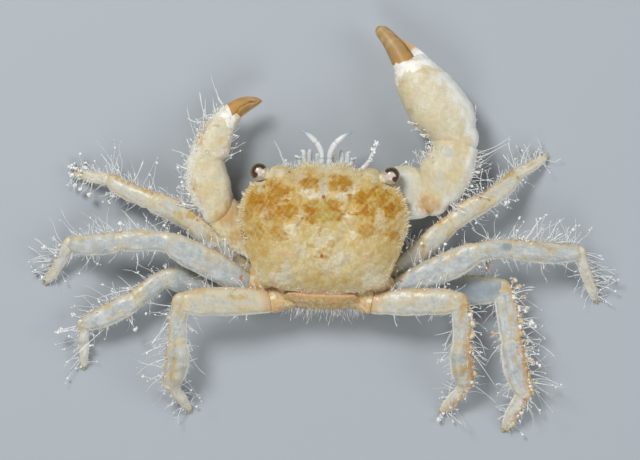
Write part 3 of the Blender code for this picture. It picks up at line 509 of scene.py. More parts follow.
def legMarks(piece, points, t, turn, look):
    # how much each colour of a leg shows: cream and ochre at the outer margin and the joints, milky streaks
    # and ochre blots drawn out lengthwise, and what the look says of this piece
    own, length = piece["seed"], np.linalg.norm(piece["end"] - piece["start"])
    across, start, close = np.cos(turn), t * length, (1 - t) * length
    front, top = np.clip(across, 0, 1), np.clip(np.sin(turn), 0, 1)
    ends = bell(start, 0.7) + bell(close, 0.9)
    drawn = points - 0.6 * (points @ piece["along"])[..., None] * piece["along"]
    blots = ramp(waves(drawn, 1.5, own + 3) + 0.3 * waves(points, 0.6, own + 8), 0.0, 1.1)
    broken = 0.75 + 0.3 * waves(points, 0.7, own + 7) + 0.15 * waves(points, 0.3, own + 11)
    streak = bell(turn - 1.2 + 0.4 * waves(drawn, 1.2, own + 14), 0.55) * ramp(blots, 0.2, 1.0)
    tanned = ramp(front + 0.3 * waves(points, 0.9, own + 5), 0.1, 0.65)
    white, warm, joint = look["white"], look["warm"], look["joined"]
    marks = {
        "milky": (0.5 + 0.4 * waves(drawn, 0.8, own + 4) + 0.35 * waves(drawn, 0.35, own + 6)
                  + 0.8 * white * (0.4 + 0.6 * np.clip(-across, 0, 1))),
        "cream": (ramp(front, 0.25, 0.9) + 0.3 * ramp(-across, 0.8, 0.98) + ends * 0.7 + 0.4 * blots
                  + 0.5 * white + 0.9 * warm + joint * (0.35 + bell(start, 2.2))) * broken,
        "ochre": (ends * (0.25 + 0.3 * front) + blots * (0.6 + 0.3 * front ** 2) + 0.7 * streak)
                 * look["ochre"] * (1 + 0.7 * warm) * broken,
        # rim: the white along the inner margin, widened over the sides that slope away, is partly the shell's
        # pale margin and partly painted highlight that lifts their shade
        "rim": (bell(across + 1, 0.14) * (0.8 + 0.3 * broken) + 0.5 * white * (0.6 + 0.5 * broken)
                + 0.4 * bell(close, 0.1) * (1 - look["tip"]) * broken),
        "tan": (look["tan"] * tanned + (0.45 + 0.5 * warm) * bell(front - 0.95, 0.09) * broken
                + 0.9 * joint * bell(start, 1.2)),
        "window": (bell((t - 0.86) * length, 0.8) * bell(across - 0.2, 0.5) * look["window"]
                   + look["dark"] * top),
        "horn": ramp(t, 0.9, 0.96) * look["tip"],
        "red": np.zeros_like(t),
    }
    for at, angle, size in look["spots"]:
        centre = limbSkin(piece, np.array(at), np.array(math.radians(angle)))
        far = np.linalg.norm(points - centre, axis=-1) * (1 + 0.3 * waves(points, 0.5, own + 15))
        marks["red"] = np.maximum(marks["red"], bell(far, 0.85 * size))
    return marks


spots = {  # small orange-red dots at joints: share of the length, degrees round from the outer margin, size
    ("legLeft1", "merus"): [(0.97, 55, 0.3)], ("legLeft1", "propodus"): [(0.05, 30, 0.35)],
    ("legLeft2", "carpus"): [(0.97, 20, 0.35)], ("legLeft2", "merus"): [(0.12, 80, 0.4)],
    ("legLeft3", "merus"): [(0.1, 70, 0.3)], ("legRight1", "merus"): [(0.9, 30, 0.3)],
    ("legRight1", "carpus"): [(0.9, 60, 0.35)], ("legRight2", "propodus"): [(0.08, 20, 0.3)],
    ("legRight2", "merus"): [(0.1, 60, 0.35)], ("legRight3", "dactylus"): [(0.1, 60, 0.35)],
}
legLook = {
    "around": 56, "row": 0.11,  # corners round a piece, and mm between its rows
    "grain": {False: 0.08, True: 0.3}, "grainSize": 0.5,  # height in mm where clean and where caked with dirt
    "littered": {"legRight3": 1.3, "legRight4": 0.9},  # legs caked with dirt beyond the merus, how thickly
    "tan": {"carpus": 0.6},  # how tan a caked piece is, the others 1
    "white": {"merus": 0.0, "carpus": 0.15, "propodus": 0.3, "dactylus": 1.0},
    "warm": {"legLeft4": 0.7, "legRight4": 0.4, "legLeft1": 0.75, "legRight1": 0.9},
    "dark": {"legRight3": 0.75, "legLeft2": 0.25},  # the meri that look dark and clear
}
limbSurfaces = {}
seed = 100
for name, limb in limbs.items():
    points = limbPath(limb, 0.15)
    planes = jointPlanes(points, hipStart(limb))
    flexed = 1 if "Left" in name else -1
    nodeStem = f"leg_{'left' if flexed > 0 else 'right'}_{name[-1]}"
    places = np.array(legWidths["places"])
    halves = [limb["breadths"][k] / 2 * np.array(legWidths[piece]) for k, piece in enumerate(legPieces)]
    flats = [[legFlat[piece]] * 4 for piece in legPieces]
    for table in (halves, flats):
        for k, shared in enumerate(jointEnds(table)):
            table[k][-1] = table[k + 1][0] = shared
    for number, piece in enumerate(legPieces):
        seed += 20
        half = halves[number]
        bow = legBow[piece] * flexed * limb["breadths"][number] * np.sin(np.pi * places)
        made = limbPiece(points, planes, number, -flexed, (places, half + bow, half - bow), flats[number])
        first, littered = piece == "merus", name in legLook["littered"] and piece != "merus"
        made.update(seed=seed, swell=1.0, grain=legLook["grain"][littered], grainSize=legLook["grainSize"])
        limbSurfaces[name, piece] = made
        skin, t, turn = limbShell(made, legLook["around"], legLook["row"])
        look = {"dark": legLook["dark"].get(name, 0.0) * first, "ochre": 0.75 if first else 1.0,
                "tan": legLook["tan"].get(piece, 1.0) if littered else 0.2,
                "window": float((name, piece) == ("legRight2", "carpus")),
                "joined": float(first and name[-1] == "4"), "tip": float(piece == "dactylus"),
                "white": legLook["white"][piece], "spots": spots.get((name, piece), []),
                "warm": legLook["warm"].get(name, 0.0) * (1.0 if first or name != "legLeft4" else 0.5)}
        marks = legMarks(made, skin, t, turn, look)
        makePiece(name + piece.capitalize(), [tube(skin, marks)], legShell, [f"{nodeStem}_{piece}"])
print("legs made:", sum(triangleCount.values()), "triangles")


# Claws: each piece's left and right margins are read from its own outline, in mm from its axis

claws = {
    "clawLeft": {
        "root": (-7.5, -3.0), "headings": (137, 101, 66, 24), "lengths": (7.1, 5.9, 6.2, 3.8),
        "heights": (3.8, 4.1, 4.3, 4.0), "tipHeight": 3.6, "flexed": 1,
        "merus": ((0, 0.3, 0.6, 1), (1.5, 2.15, 2.15, 1.75), (1.1, 1.8, 2.2, 2.1)),
        "carpus": ((0, 0.2, 0.45, 0.7, 0.92, 1), (1.9, 2.65, 3.13, 3.0, 2.5, 2.25),
                   (2.1, 2.0, 2.03, 1.9, 1.68, 1.7)),
        "palm": ((0, 0.2, 0.4, 0.6, 0.8, 1), (2.2, 2.27, 2.27, 2.05, 1.6, 1.0),
                 (1.75, 1.9, 1.68, 1.34, 1.32, 1.45)),
        "grain": 0.15, "grainSize": 0.5,
    },
    "clawRight": {
        "root": (6.2, 2.6), "headings": (13, 67, 125, 127), "lengths": (6.4, 7.2, 10.4, 5.4),
        "heights": (3.6, 3.9, 4.3, 3.9), "tipHeight": 3.3, "flexed": -1,
        "merus": ((0, 0.3, 0.6, 0.9, 1), (3.0, 3.9, 4.0, 3.5, 3.0), (1.9, 2.3, 2.4, 2.3, 2.1)),
        "carpus": ((0, 0.2, 0.4, 0.6, 0.78, 0.92, 1), (1.9, 2.1, 2.5, 2.25, 2.3, 2.45, 2.35),
                   (2.6, 3.35, 3.6, 3.64, 3.4, 3.05, 2.9)),
        "palm": ((0, 0.16, 0.32, 0.49, 0.65, 0.83, 1), (2.1, 2.4, 2.9, 3.02, 2.85, 2.5, 1.85),
                 (2.85, 3.75, 3.9, 3.8, 3.52, 3.0, 2.45)),
        "grain": 0.035, "grainSize": 0.6,
    },
}
clawFlat = {"merus": 0.45, "carpus": 0.72, "palm": 0.78}
clawPigment = {  # places where each colour lies, on each claw's pieces as seen from above
    "clawRight": {
        "ochre": ((12.3, 2.8, 1.4, 0.9, 1.2), (14.0, 2.5, 1.8, 0.5, 0.7), (11.4, 2.2, 0.7, 0.6, 0.6),
                  (10.08, 5.37, 0.12, 0.12, 0.9), (9.9, 13.9, 0.35, 0.7, 0.5), (8.5, 16.9, 0.35, 0.5, 0.5)),
        "yellow": ((11.7, 18.7, 1.6, 0.6, 0.9), (9.2, 15.8, 1.0, 1.8, 0.6), (11.9, 12.9, 1.7, 1.0, 0.6),
                   (13.9, 10.4, 1.3, 0.4, 0.8), (15.9, 9.8, 1.1, 1.2, 0.75), (15.7, 6.4, 1.4, 2.2, 0.7),
                   (12.0, 6.0, 1.0, 1.6, 0.6), (12.6, 3.9, 1.4, 1.0, 0.7)),
        "salmon": ((12.05, 11.4, 0.5, 0.4, 0.6), (14.3, 10.7, 0.6, 0.3, 0.6), (12.4, 3.0, 1.5, 1.0, 0.5)),
        "clear": ((14.4, 9.3, 0.9, 0.8, 0.9), (13.3, 5.8, 0.9, 1.6, 0.55), (9.2, 4.6, 1.8, 2.6, 1.0),
                  (10.4, 3.0, 1.0, 1.8, 0.7)),
        "white": ((9.5, 19.2, 1.8, 0.8, 1.2), (8.4, 18.7, 0.9, 0.9, 1.1), (11.3, 19.6, 0.9, 0.5, 1.0),
                  (8.2, 17.6, 0.3, 1.2, 0.7), (12.6, 19.4, 0.8, 0.4, 0.6)),
        "red": ((12.3, 2.1, 0.34, 0.12, 1.0), (12.0, 2.3, 0.12, 0.2, 0.8)),
    },
    "clawLeft": {
        "ochre": ((-14.8, 10.3, 0.8, 1.3, 0.8), (-12.5, 12.0, 0.4, 0.25, 0.7), (-12.4, 9.9, 0.4, 0.3, 0.5),
                  (-14.03, 8.37, 0.22, 0.25, 1.0), (-15.5, 4.6, 0.5, 1.3, 0.7), (-10.6, 2.0, 1.2, 1.1, 1.0),
                  (-11.5, 0.4, 1.1, 0.8, 1.0), (-10.2, -1.6, 1.3, 0.9, 0.9), (-12.6, 0.9, 0.5, 0.5, 0.8)),
        "yellow": ((-12.5, 9.8, 0.9, 0.6, 0.9), (-13.8, 11.6, 0.6, 0.7, 0.7), (-14.3, 6.5, 1.6, 0.8, 0.7),
                   (-13.5, 3.8, 2.0, 1.2, 0.7), (-12.5, 1.9, 1.4, 0.9, 0.6), (-11.6, 9.6, 0.4, 1.2, 0.6),
                   (-11.4, 0.0, 2.4, 2.2, 1.2), (-9.6, -2.2, 1.6, 1.2, 1.1)),
        "salmon": ((-14.6, 9.6, 0.5, 0.5, 0.5), (-14.4, 2.6, 0.7, 0.7, 0.6), (-11.0, 1.2, 0.9, 0.7, 0.6)),
        "clear": ((-12.4, 10.9, 0.35, 0.35, 0.5), (-12.9, 5.0, 0.5, 0.4, 0.7), (-12.25, 3.5, 0.4, 0.5, 0.7),
                  (-14.2, 5.6, 0.5, 0.4, 0.4)),
        "white": ((-12.1, 13.0, 1.0, 0.6, 1.0), (-11.3, 12.1, 0.6, 0.75, 1.0), (-11.2, 10.2, 0.4, 1.6, 0.9),
                  (-11.9, 8.3, 0.6, 0.5, 0.75), (-12.9, 8.0, 0.7, 0.25, 0.6), (-15.2, 7.8, 0.5, 0.25, 0.6)),
        "red": ((-15.44, 3.86, 0.12, 0.12, 0.8),),
    },
}


def clawMarks(name, points, turn):
    # patches where the photo has them; the big claw's outer side is cool white, and so are both outer edges,
    # partly pale thin shell and partly a painted highlight
    marks = {mark: patches(points, places, 610, 0.0 if mark == "red" else 0.6)
             * (0.9 + 0.3 * waves(points, 0.5, 617)) for mark, places in clawPigment[name].items()}
    most = 1.15 if name == "clawRight" else 0.8
    # the cool white on each claw's outer side, strongest on the big claw, is partly the thin pale shell and
    # partly a painted highlight along the outer margin
    marks["cool"] = ramp(np.cos(turn) + 0.1 * waves(points, 1.3, 616), 0.1, 0.95) * most
    return marks


def fingerShell(start, way, length, shape, name, split, half, gap=0.06, around=64, rows=70):
    # an oval beak between its two margins, flattened against the slit between the fingers
    side = leftOf(way)
    up = np.cross(way, side)
    t, turn = grid(rows, around)
    t = 1 - (1 - t) ** 1.5
    places = fingers["places"]
    leftEdge, rightEdge = [smoothCurve(t, places, values) for values in shape[name]]
    tip = np.sqrt(np.clip(1 - ((t - 0.88) / 0.12).clip(0) ** 2, 0, 1))
    across, middle = (leftEdge - rightEdge) / 2 * tip, (leftEdge + rightEdge) / 2
    tall = smoothCurve(t, places, shape["heights"]) * tip
    reach = (across * np.cos(turn) + middle)[..., None] * side + (tall * np.sin(turn))[..., None] * up
    above = reach @ split * half
    reach = reach + (np.clip(gap - above, 0, None) * half)[..., None] * split
    return start + reach + (t * length)[..., None] * way, t, turn


fingers = {  # left and right margins beside the palm's last joint, and half heights, at shares of the length
    "places": (-0.15, 0.1, 0.35, 0.64, 0.87, 1.0),
    "clawLeft": {
        "free": ((0.8, 1.0, 1.17, 0.98, 0.42, -0.1), (-1.3, -1.1, -0.85, -0.6, -0.45, -0.45)),
        "fixed": ((0.6, 0.5, 0.45, 0.35, 0.0, -0.3), (-2.0, -1.75, -1.38, -0.95, -0.66, -0.5)),
        "heights": (1.25, 1.2, 1.05, 0.85, 0.6, 0.45), "reach": 0.5,
        "crease": ((-10.91, 12.52), (-10.34, 13.68), (-9.28, 14.33), (-8.27, 14.47)),
    },
    "clawRight": {
        "free": ((1.75, 1.55, 1.16, 0.85, 0.8, 0.75), (-1.25, -1.35, -1.42, -1.18, -0.84, -0.5)),
        "fixed": ((1.0, 0.7, 0.4, 0.1, 0.0, -0.1), (-2.85, -2.66, -2.27, -1.47, -0.9, -0.5)),
        "heights": (1.75, 1.65, 1.4, 1.1, 0.85, 0.8), "reach": 0.95,
        "crease": ((8.66, 22.16), (9.4, 21.1), (10.02, 20.2)),
    },
}
# rows of spikelets on the little claw: how many to the mm, degrees from its outer margin, and size
spikelets = ((5.0, 2, 1.0), (3.6, 24, 0.7), (2.6, 48, 0.5), (2.4, -24, 0.7))


def towardsPoint(rows, low=0.0):
    # a mark that grows from the foot of a spike to its point
    return np.linspace(low, 1, len(rows))[:, None] + 0 * rows[..., 0]


for name, claw in claws.items():
    points = limbPath(claw, claw["tipHeight"])
    planes = jointPlanes(points, hipStart(claw))
    nodeStem = "claw_left" if claw["flexed"] > 0 else "claw_right"
    fingerWay = unit(points[4] - points[3])
    side = leftOf(fingerWay)
    up = np.cross(fingerWay, side)
    lean = math.radians(24 if name == "clawLeft" else 9)
    split = up * math.cos(lean) - side * (claw["flexed"] * math.sin(lean))
    for number, piece in enumerate(("merus", "carpus", "palm")):
        seed += 20
        made = limbPiece(points, planes, number, claw["flexed"], claw[piece], [clawFlat[piece]] * 4, 2.3)
        made.update(seed=seed, swell=1.0, grain=claw["grain"], grainSize=claw["grainSize"], neck=0.3)
        made["tip"] = 0.25 * (piece == "palm")
        limbSurfaces[name, piece] = made
        skin, t, turn = limbShell(made, 112, 0.1)
        bumps = 0.02 * grains(skin, 0.3, seed + 12) * np.clip(np.sin(turn), 0.1, 1)
        skin += bumps[..., None] * outward(made, turn)
        parts = [tube(skin, clawMarks(name, skin, turn))]
        if piece == "palm":
            start = points[3] - fingerWay * 1.2
            reach = claw["lengths"][3] + 1.0
            rows, t, turn = fingerShell(start, fingerWay, reach, fingers[name], "fixed", split, -1)
            white = np.maximum(clawMarks(name, rows, turn)["white"], 1 - ramp(t, 0.26, 0.36))
            horn = ramp(t + 0.04 * waves(rows, 0.8, seed + 5), 0.3, 0.44)
            marks = {"white": white, "cool": 1 - horn, "ochre": 1.1 * horn, "yellow": horn}
            parts.append(tube(rows, marks))
        if name == "clawLeft" and piece != "merus":
            draw = np.random.default_rng(seed)
            for perMm, middle, share in spikelets:
                count = perMm * claw["lengths"][number]
                for k in range(int(count)):
                    at = 0.03 + 0.94 * (k + draw.random()) / count
                    bearing = math.radians(draw.normal(middle, 8))
                    root = limbSkin(made, np.array(at), np.array(bearing))
                    way = outward(made, np.array(bearing)) + made["along"] * 0.5
                    way = unit(way + draw.normal(0, 0.15, 3))
                    size = draw.uniform(0.6, 1.1) * share
                    rows = spike(root - way * 0.06, way, 0.42 * size, 0.13 * size, 8, 6)
                    parts.append(tube(rows, {"white": towardsPoint(rows, 0.2)}))
        makePiece(name + piece.capitalize(), parts, clawShell, [f"{nodeStem}_{piece}"])
    shape = fingers[name]
    start = points[3] - fingerWay * 0.45
    reach = claw["lengths"][3] + shape["reach"]
    rows, t, turn = fingerShell(start, fingerWay, reach, shape, "free", split, 1)
    near = courseDistance(rows[..., 0], rows[..., 1], shape["crease"])
    line = bell(near, 0.13) * ramp(np.sin(turn), 0.0, 0.3)
    rows[..., 2] -= 0.1 * line
    pale = 1 - ramp(t, 0.02, 0.08) + bell(t - 1, 0.03) * (name == "clawLeft")
    if name == "clawRight":
        pale = 1 - ramp(rows[..., 1] - 0.27 * (rows[..., 0] - 7.6) + 0.1 * waves(rows, 0.7, 611), 19.1, 19.45)
    marks = {
        "dark": (0.3 * bell(np.sin(turn) + 0.3, 0.3) + 0.8 * line
                 + 0.3 * waves(rows, 0.7, seed + 3) * bell(t - 0.6, 0.4)),
        "orange": ((1.1 * bell(t - 0.16, 0.14) + 0.6 * (name == "clawLeft"))
                   * (0.7 + 0.3 * waves(rows, 0.9, seed + 4))),
        "white": pale,
        "pale": 0.6 * ramp(t, 0.35, 0.6) * (0.7 + 0.4 * waves(rows, 1.2, seed + 6)),
    }
    makePiece(name + "Finger", [tube(rows, marks)], clawHorn, [f"{nodeStem}_finger"])
print("claws made:", sum(triangleCount.values()), "triangles")


# Shield

carapace = {
    "outline": ((0, 7.15), (0.4, 7.3), (1.5, 7.5), (2.6, 7.4), (3.3, 7.1), (3.7, 6.75), (4.3, 6.75),
                (5.2, 6.95), (6.0, 6.85), (6.5, 6.4), (6.9, 5.6), (7.6, 5.2), (8.8, 4.6), (9.6, 3.2),
                (10.0, 1.6), (9.95, 0), (9.4, -1.8), (8.5, -4.2), (7.7, -6.2), (7.0, -7.0), (5.4, -7.4),
                (3, -7.8), (0, -8.0)),
    "edge": 6.3, "top": 9.3, "droop": 0.5,
    "teeth": ((8.5, 4.5, 52), (9.3, 3.3, 36), (9.75, 1.8, 22), (9.8, 0.3, 8)),
    "grooves": (  # courses on the right half, then depth and width
        (((0, 7.8), (0, 5.6), (0, 4.2)), 0.22, 0.3),
        (((0, 3.2), (1.0, 2.3), (2.2, 0.9), (2.9, -0.3)), 0.22, 0.36),
        (((3.4, 5.6), (3.3, 3.6), (2.9, 1.9), (2.2, 0.9)), 0.22, 0.4),
        (((2.9, -0.3), (2.2, -1.8), (2.3, -3.4), (3.0, -4.6)), 0.24, 0.45),
        (((3.3, 3.2), (5.2, 3.0), (7.2, 2.4), (8.8, 2.3)), 0.18, 0.42),
        (((0, -1.2), (1.2, -1.3), (2.2, -1.8)), 0.12, 0.35),
        (((3.9, 7.2), (4.0, 6.2), (5.2, 5.4), (6.6, 5.2)), 0.2, 0.35),
        (((5.2, 3.0), (5.0, 1.2), (3.6, 0.2)), 0.12, 0.35),
    ),
    "swells": (  # middle, radius and height of each region that stands proud
        (1.7, 4.4, 1.2, 0.24), (0, 1.2, 1.3, 0.2), (0, -3.4, 1.7, 0.24), (6.2, 4.2, 1.0, 0.2),
        (5.6, 1.4, 1.5, 0.18), (8.0, 1.6, 1.1, 0.16), (5.2, -3.2, 2.4, 0.2), (2.0, 6.5, 0.9, 0.12),
        (4.2, 4.4, 0.8, 0.14),
    ),
    "brow": (5.4, 6.1, 1.15, 0.85),  # the lobe over each eye stalk: middle, radius and how much it stands up
}


def outlineReach(outline, angle):
    # how far from the middle an outline lies, which is given for the right half and mirrored
    places = np.array([math.atan2(y, x) for x, y in outline])[::-1]
    radii = np.array([math.hypot(x, y) for x, y in outline])[::-1]
    return np.interp(np.arctan2(np.sin(angle), np.abs(np.cos(angle))), places, radii)


def shellReach(angle, ease):
    # the shield's outline with its corners eased
    total = 0
    for offset, weight in ((-ease, 0.25), (0, 0.5), (ease, 0.25)):
        total = total + weight * outlineReach(carapace["outline"], angle + offset)
    return total


def shieldRelief(x, y):
    lift = 0.0
    for cx, cy, size, high in carapace["swells"]:
        lift = lift + high * bell(np.hypot(np.abs(x) - cx, y - cy), size)
    for course, depth, width in carapace["grooves"]:
        lift = lift - depth * bell(courseDistance(np.abs(x), y, course), width)
    return lift


def edgeHeight(angle):
    return carapace["edge"] - carapace["droop"] * np.clip(np.sin(angle), 0, 1) ** 2


def shieldSkin(share, angle):
    # a low dome over the outline: it drops as the share of the way out to the power of 3.2. The outline's
    # lobes fade inwards, and the brows lift the edge
    inner = share ** 5
    reach = shellReach(angle, 0.2) * (1 - inner) + shellReach(angle, 0.02) * inner
    edge = edgeHeight(angle)
    x, y = reach * share * np.cos(angle), reach * share * np.sin(angle)
    browX, browY, browSize, browLift = carapace["brow"]
    brow = browLift * bell(np.hypot(np.abs(x) - browX, 0.8 * (y - browY)), browSize) ** 0.7
    z = edge + (carapace["top"] - edge) * (1 - share ** 3.2) + shieldRelief(x, y) * (1 - share ** 6) + brow
    return np.stack([x, y, z], -1)


def cleared(points, ends, wide):
    # pushes what lies within a distance of a straight run out to that distance
    a, b = np.array(ends[0]), np.array(ends[1])
    u = np.clip((points - a) @ (b - a) / ((b - a) @ (b - a)), 0, 1)
    nearest = a + u[..., None] * (b - a)
    off = points - nearest
    distance = np.linalg.norm(off, axis=-1, keepdims=True)
    return np.where(distance < wide, nearest + off / np.maximum(distance, 1e-6) * wide, points)


stalkCourse = ((4.9, 5.75, 6.05), (5.8, 5.6, 6.25), (6.7, 5.75, 6.45), eyePlace)
stalkRadius, eyeRadius = 0.56, 1.07
aroundCount = 540
# the rows below the edge: each one's share of the edge's distance, and how far it lies below, in mm
flankShares = (1.004, 0.998, 0.975, 0.94, 0.88, 0.8, 0.7, 0.6)
flankDrops = (0.12, 0.3, 0.5, 0.72, 1.1, 1.65, 2.2, 2.6)
flankCount = len(flankDrops)
angle = np.linspace(0, 2 * np.pi, aroundCount, endpoint=False)
out = np.concatenate([np.linspace(0.02, 0.8, 100), np.linspace(0.8, 1, 44)[1:]])  # closer rows at the edge
share, angles = np.meshgrid(out, angle, indexing="ij")
top = shieldSkin(share, angles)
rimGrain = ramp(share, 0.88, 0.99)
front = ramp(np.sin(angles), -0.1, 0.5)
speckled = ramp(np.abs(top[..., 0]), 3.0, 6.5) * ramp(top[..., 1], -2.0, 1.0)
lift = 0.05 * waves(top, 1.5, 61) + 0.1 * grains(top, 0.55, 62) * (0.15 + speckled)
lift += 0.055 * grains(top, 0.34, 66) * (0.45 + 0.55 * ramp(top[..., 1], -4.0, 2.0))
lift += 0.14 * grains(top, 0.42, 63) * rimGrain * front
top[..., 2] += lift * (1 - 0.5 * share ** 8)
below = []
for at, drop in zip(flankShares, flankDrops):
    row = top[-1].copy()
    row[:, :2] *= at
    deep = 0.45 + 0.55 * ramp(np.sin(angle), -0.35, 0.25)
    row[:, 2] = edgeHeight(angle) * (1 - bell(drop, 0.5)) + top[-1, :, 2] * bell(drop, 0.5) - drop * deep
    row[:, :2] *= (1 + 0.004 * waves(row, 0.6, 65))[:, None]
    below.append(row)
shield = np.concatenate([top, np.stack(below)])
for sign in (-1, 1):
    course = np.array(stalkCourse) * np.array([sign, 1, 1])
    for start, end in zip(course, course[1:]):
        shield = cleared(shield, (start, end), stalkRadius + 0.12)
    shield = cleared(shield, (course[-1], course[-1] + 0.01), eyeRadius + 0.1)

shieldMarks = {  # places where the pigment lies: x, y, half breadth, half length, strength
    "gold": ((-6.0, 2.6, 4.0, 3.4, 1.0), (6.0, 2.6, 4.0, 3.2, 1.0), (0, 4.9, 3.6, 2.2, 0.7),
             (0, 1.5, 3.0, 2.0, 0.7), (-7.6, -1.8, 2.2, 2.6, 0.75), (7.4, -1.8, 2.2, 2.6, 0.65),
             (-3.6, -1.2, 2.4, 2.0, 0.5), (4.2, -1.2, 2.2, 2.0, 0.5), (0.2, -6.4, 3.4, 1.0, 0.6),
             (-6.0, -4.6, 1.6, 2.0, 0.4)),
    "grey": ((-4.2, -5.7, 0.6, 1.2, 0.8), (-0.2, 4.2, 0.7, 1.0, 0.9), (0, 6.4, 0.5, 1.6, 0.6),
             (-1.8, 3.5, 1.0, 0.5, 0.8), (2.2, 3.6, 0.9, 0.5, 0.7), (-7.7, 4.7, 0.5, 0.4, 0.9),
             (0, -1.6, 1.4, 0.7, 0.6), (2.2, -3.6, 1.1, 1.2, 0.55), (-2.6, -2.8, 0.9, 1.1, 0.55),
             (6.2, -5.2, 1.4, 1.0, 0.5), (-3.0, 5.6, 0.7, 0.5, 0.5), (6.6, 0.4, 1.0, 0.6, 0.5),
             (-6.4, 0.6, 0.9, 0.6, 0.5), (3.4, 4.9, 0.8, 0.4, 0.6)),
    "pale": ((-7.0, 1.5, 0.9, 0.9, 0.7), (-1.6, 3.7, 1.1, 0.5, 0.8), (2.4, 4.1, 1.2, 0.6, 0.9),
             (-3.0, 1.1, 0.5, 0.5, 0.8), (2.7, 1.1, 0.4, 0.5, 0.9), (-3.6, -0.6, 0.6, 0.7, 0.9),
             (3.3, -0.8, 0.5, 0.6, 0.9), (-0.5, -0.4, 0.5, 0.4, 0.6), (1.5, -3.6, 0.9, 0.5, 0.9),
             (-2.4, -2.6, 0.6, 0.5, 0.7), (6.5, 1.3, 0.7, 0.6, 0.6), (0.4, 6.5, 2.0, 0.4, 0.6),
             (-5.1, -6.2, 1.5, 1.0, 0.9), (6.0, -6.3, 1.2, 0.9, 0.9), (-5.6, 6.2, 1.2, 0.6, 0.75),
             (5.6, 6.2, 1.2, 0.6, 0.5), (-6.6, 5.6, 0.5, 0.4, 0.9), (6.6, 5.6, 0.5, 0.4, 0.9),
             (-7.7, 5.0, 0.8, 0.4, 0.5), (7.7, 5.0, 0.9, 0.4, 0.7), (0.0, 7.0, 2.6, 0.35, 0.5),
             (1.2, -4.9, 1.5, 0.9, 0.5), (-6.6, -6.0, 1.2, 0.8, 0.4)),
    "green": ((0.0, 1.9, 1.0, 1.4, 0.8), (-1.2, 1.3, 0.9, 0.9, 0.7), (1.2, 1.3, 0.9, 0.9, 0.7),
              (-5.2, 6.0, 1.1, 0.5, 0.35), (-0.1, -0.4, 0.5, 1.0, 0.4)),
    "ochre": ((-5.4, 3.9, 1.3, 1.0, 1.0), (-7.9, 2.7, 1.3, 1.3, 0.95), (-4.4, 1.7, 1.4, 1.0, 0.9),
              (-1.7, 4.9, 1.3, 0.9, 0.8), (-1.6, 1.6, 0.9, 1.2, 0.85), (-4.9, -1.0, 0.8, 0.7, 0.6),
              (-9.0, -1.3, 0.5, 0.6, 0.5), (4.4, 3.5, 1.2, 0.9, 1.0), (5.2, 1.8, 0.8, 0.8, 0.95),
              (3.8, 1.5, 0.8, 0.6, 0.85), (7.5, 1.9, 0.8, 0.9, 0.9), (5.7, 4.2, 0.7, 0.5, 0.8),
              (7.2, 3.8, 0.6, 0.5, 0.7), (1.8, 5.0, 1.4, 0.9, 0.85), (1.4, 2.3, 0.8, 0.9, 0.8),
              (2.1, 1.0, 0.5, 0.7, 0.7), (4.8, -0.8, 0.7, 0.6, 0.55), (8.2, -0.6, 0.6, 0.5, 0.5),
              (-6.4, 2.4, 0.7, 1.1, 0.8), (8.7, 2.4, 0.7, 0.9, 0.6), (-9.0, 1.2, 0.6, 1.0, 0.6),
              (-7.7, -0.9, 1.2, 1.0, 0.5), (-5.4, -0.8, 1.0, 0.8, 0.6), (5.3, -0.4, 1.1, 0.9, 0.6),
              (8.2, -0.5, 0.9, 1.1, 0.6), (-1.3, -2.2, 0.6, 0.4, 0.5), (0.9, -2.3, 0.6, 0.4, 0.5),
              (-0.2, -0.8, 0.3, 0.7, 0.5), (-0.1, 3.4, 0.5, 0.5, 0.6), (-0.1, -3.5, 0.5, 0.6, 0.6),
              (-6.2, 0.9, 1.0, 0.7, 0.7), (6.6, 2.9, 0.8, 0.7, 0.8)),
    "deepOchre": ((-4.3, 3.5, 0.45, 0.4, 1), (-7.8, 2.3, 0.5, 0.4, 0.9), (-7.2, 1.6, 0.4, 0.4, 0.8),
                  (-5.4, 2.0, 0.5, 0.4, 0.9), (-2.0, 4.9, 0.5, 0.35, 0.75), (-1.6, 1.7, 0.4, 0.5, 0.8),
                  (4.4, 3.2, 0.5, 0.45, 1), (5.1, 2.1, 0.5, 0.4, 0.9), (3.8, 1.4, 0.4, 0.35, 0.8),
                  (7.6, 2.2, 0.45, 0.4, 0.9), (2.1, 4.9, 0.5, 0.35, 0.8), (0.8, 5.7, 0.3, 0.25, 0.6),
                  (1.6, 2.0, 0.4, 0.4, 0.8), (-6.1, 4.3, 0.4, 0.35, 0.7)),
    "salmon": ((-4.8, -3.6, 1.0, 0.7, 0.5), (5.0, -3.6, 0.9, 0.8, 0.5), (-5.2, 4.6, 0.5, 0.4, 0.5),
               (-6.2, -7.0, 1.4, 0.5, 0.8), (6.6, -6.9, 1.4, 0.5, 0.8), (0.0, -7.8, 4.6, 0.3, 1.0)),
    "red": ((-7.1, 4.4, 0.14, 0.14, 1), (-4.2, 6.2, 0.14, 0.14, 0.9), (7.2, 4.4, 0.14, 0.14, 0.9),
            (4.3, 6.1, 0.13, 0.13, 0.8), (-0.1, 3.4, 0.22, 0.22, 1.1), (-0.1, -3.5, 0.22, 0.26, 1.1),
            (8.8, 2.2, 0.12, 0.12, 0.7), (9.2, 1.3, 0.12, 0.12, 0.7), (7.6, -6.6, 0.15, 0.15, 0.8)),
}
x, y = shield[..., 0], shield[..., 1]
patchy = 0.9 + 0.2 * waves(shield, 0.55, 78) + 0.1 * waves(shield, 0.26, 79)
marks = {mark: patches(shield, places, 70) * patchy for mark, places in shieldMarks.items()}
marks["red"] = patches(shield, shieldMarks["red"], 70, 0.0)
grooved = np.zeros_like(x)
for course, depth, width in carapace["grooves"]:
    grooved = np.maximum(grooved, bell(courseDistance(np.abs(x), y, course), width * 0.5))
marks["grey"] = np.maximum(marks["grey"], 0.35 * grooved * ramp(y, -3.0, 1.0))
shares = np.concatenate([share, np.full((flankCount, aroundCount), 1.01)])
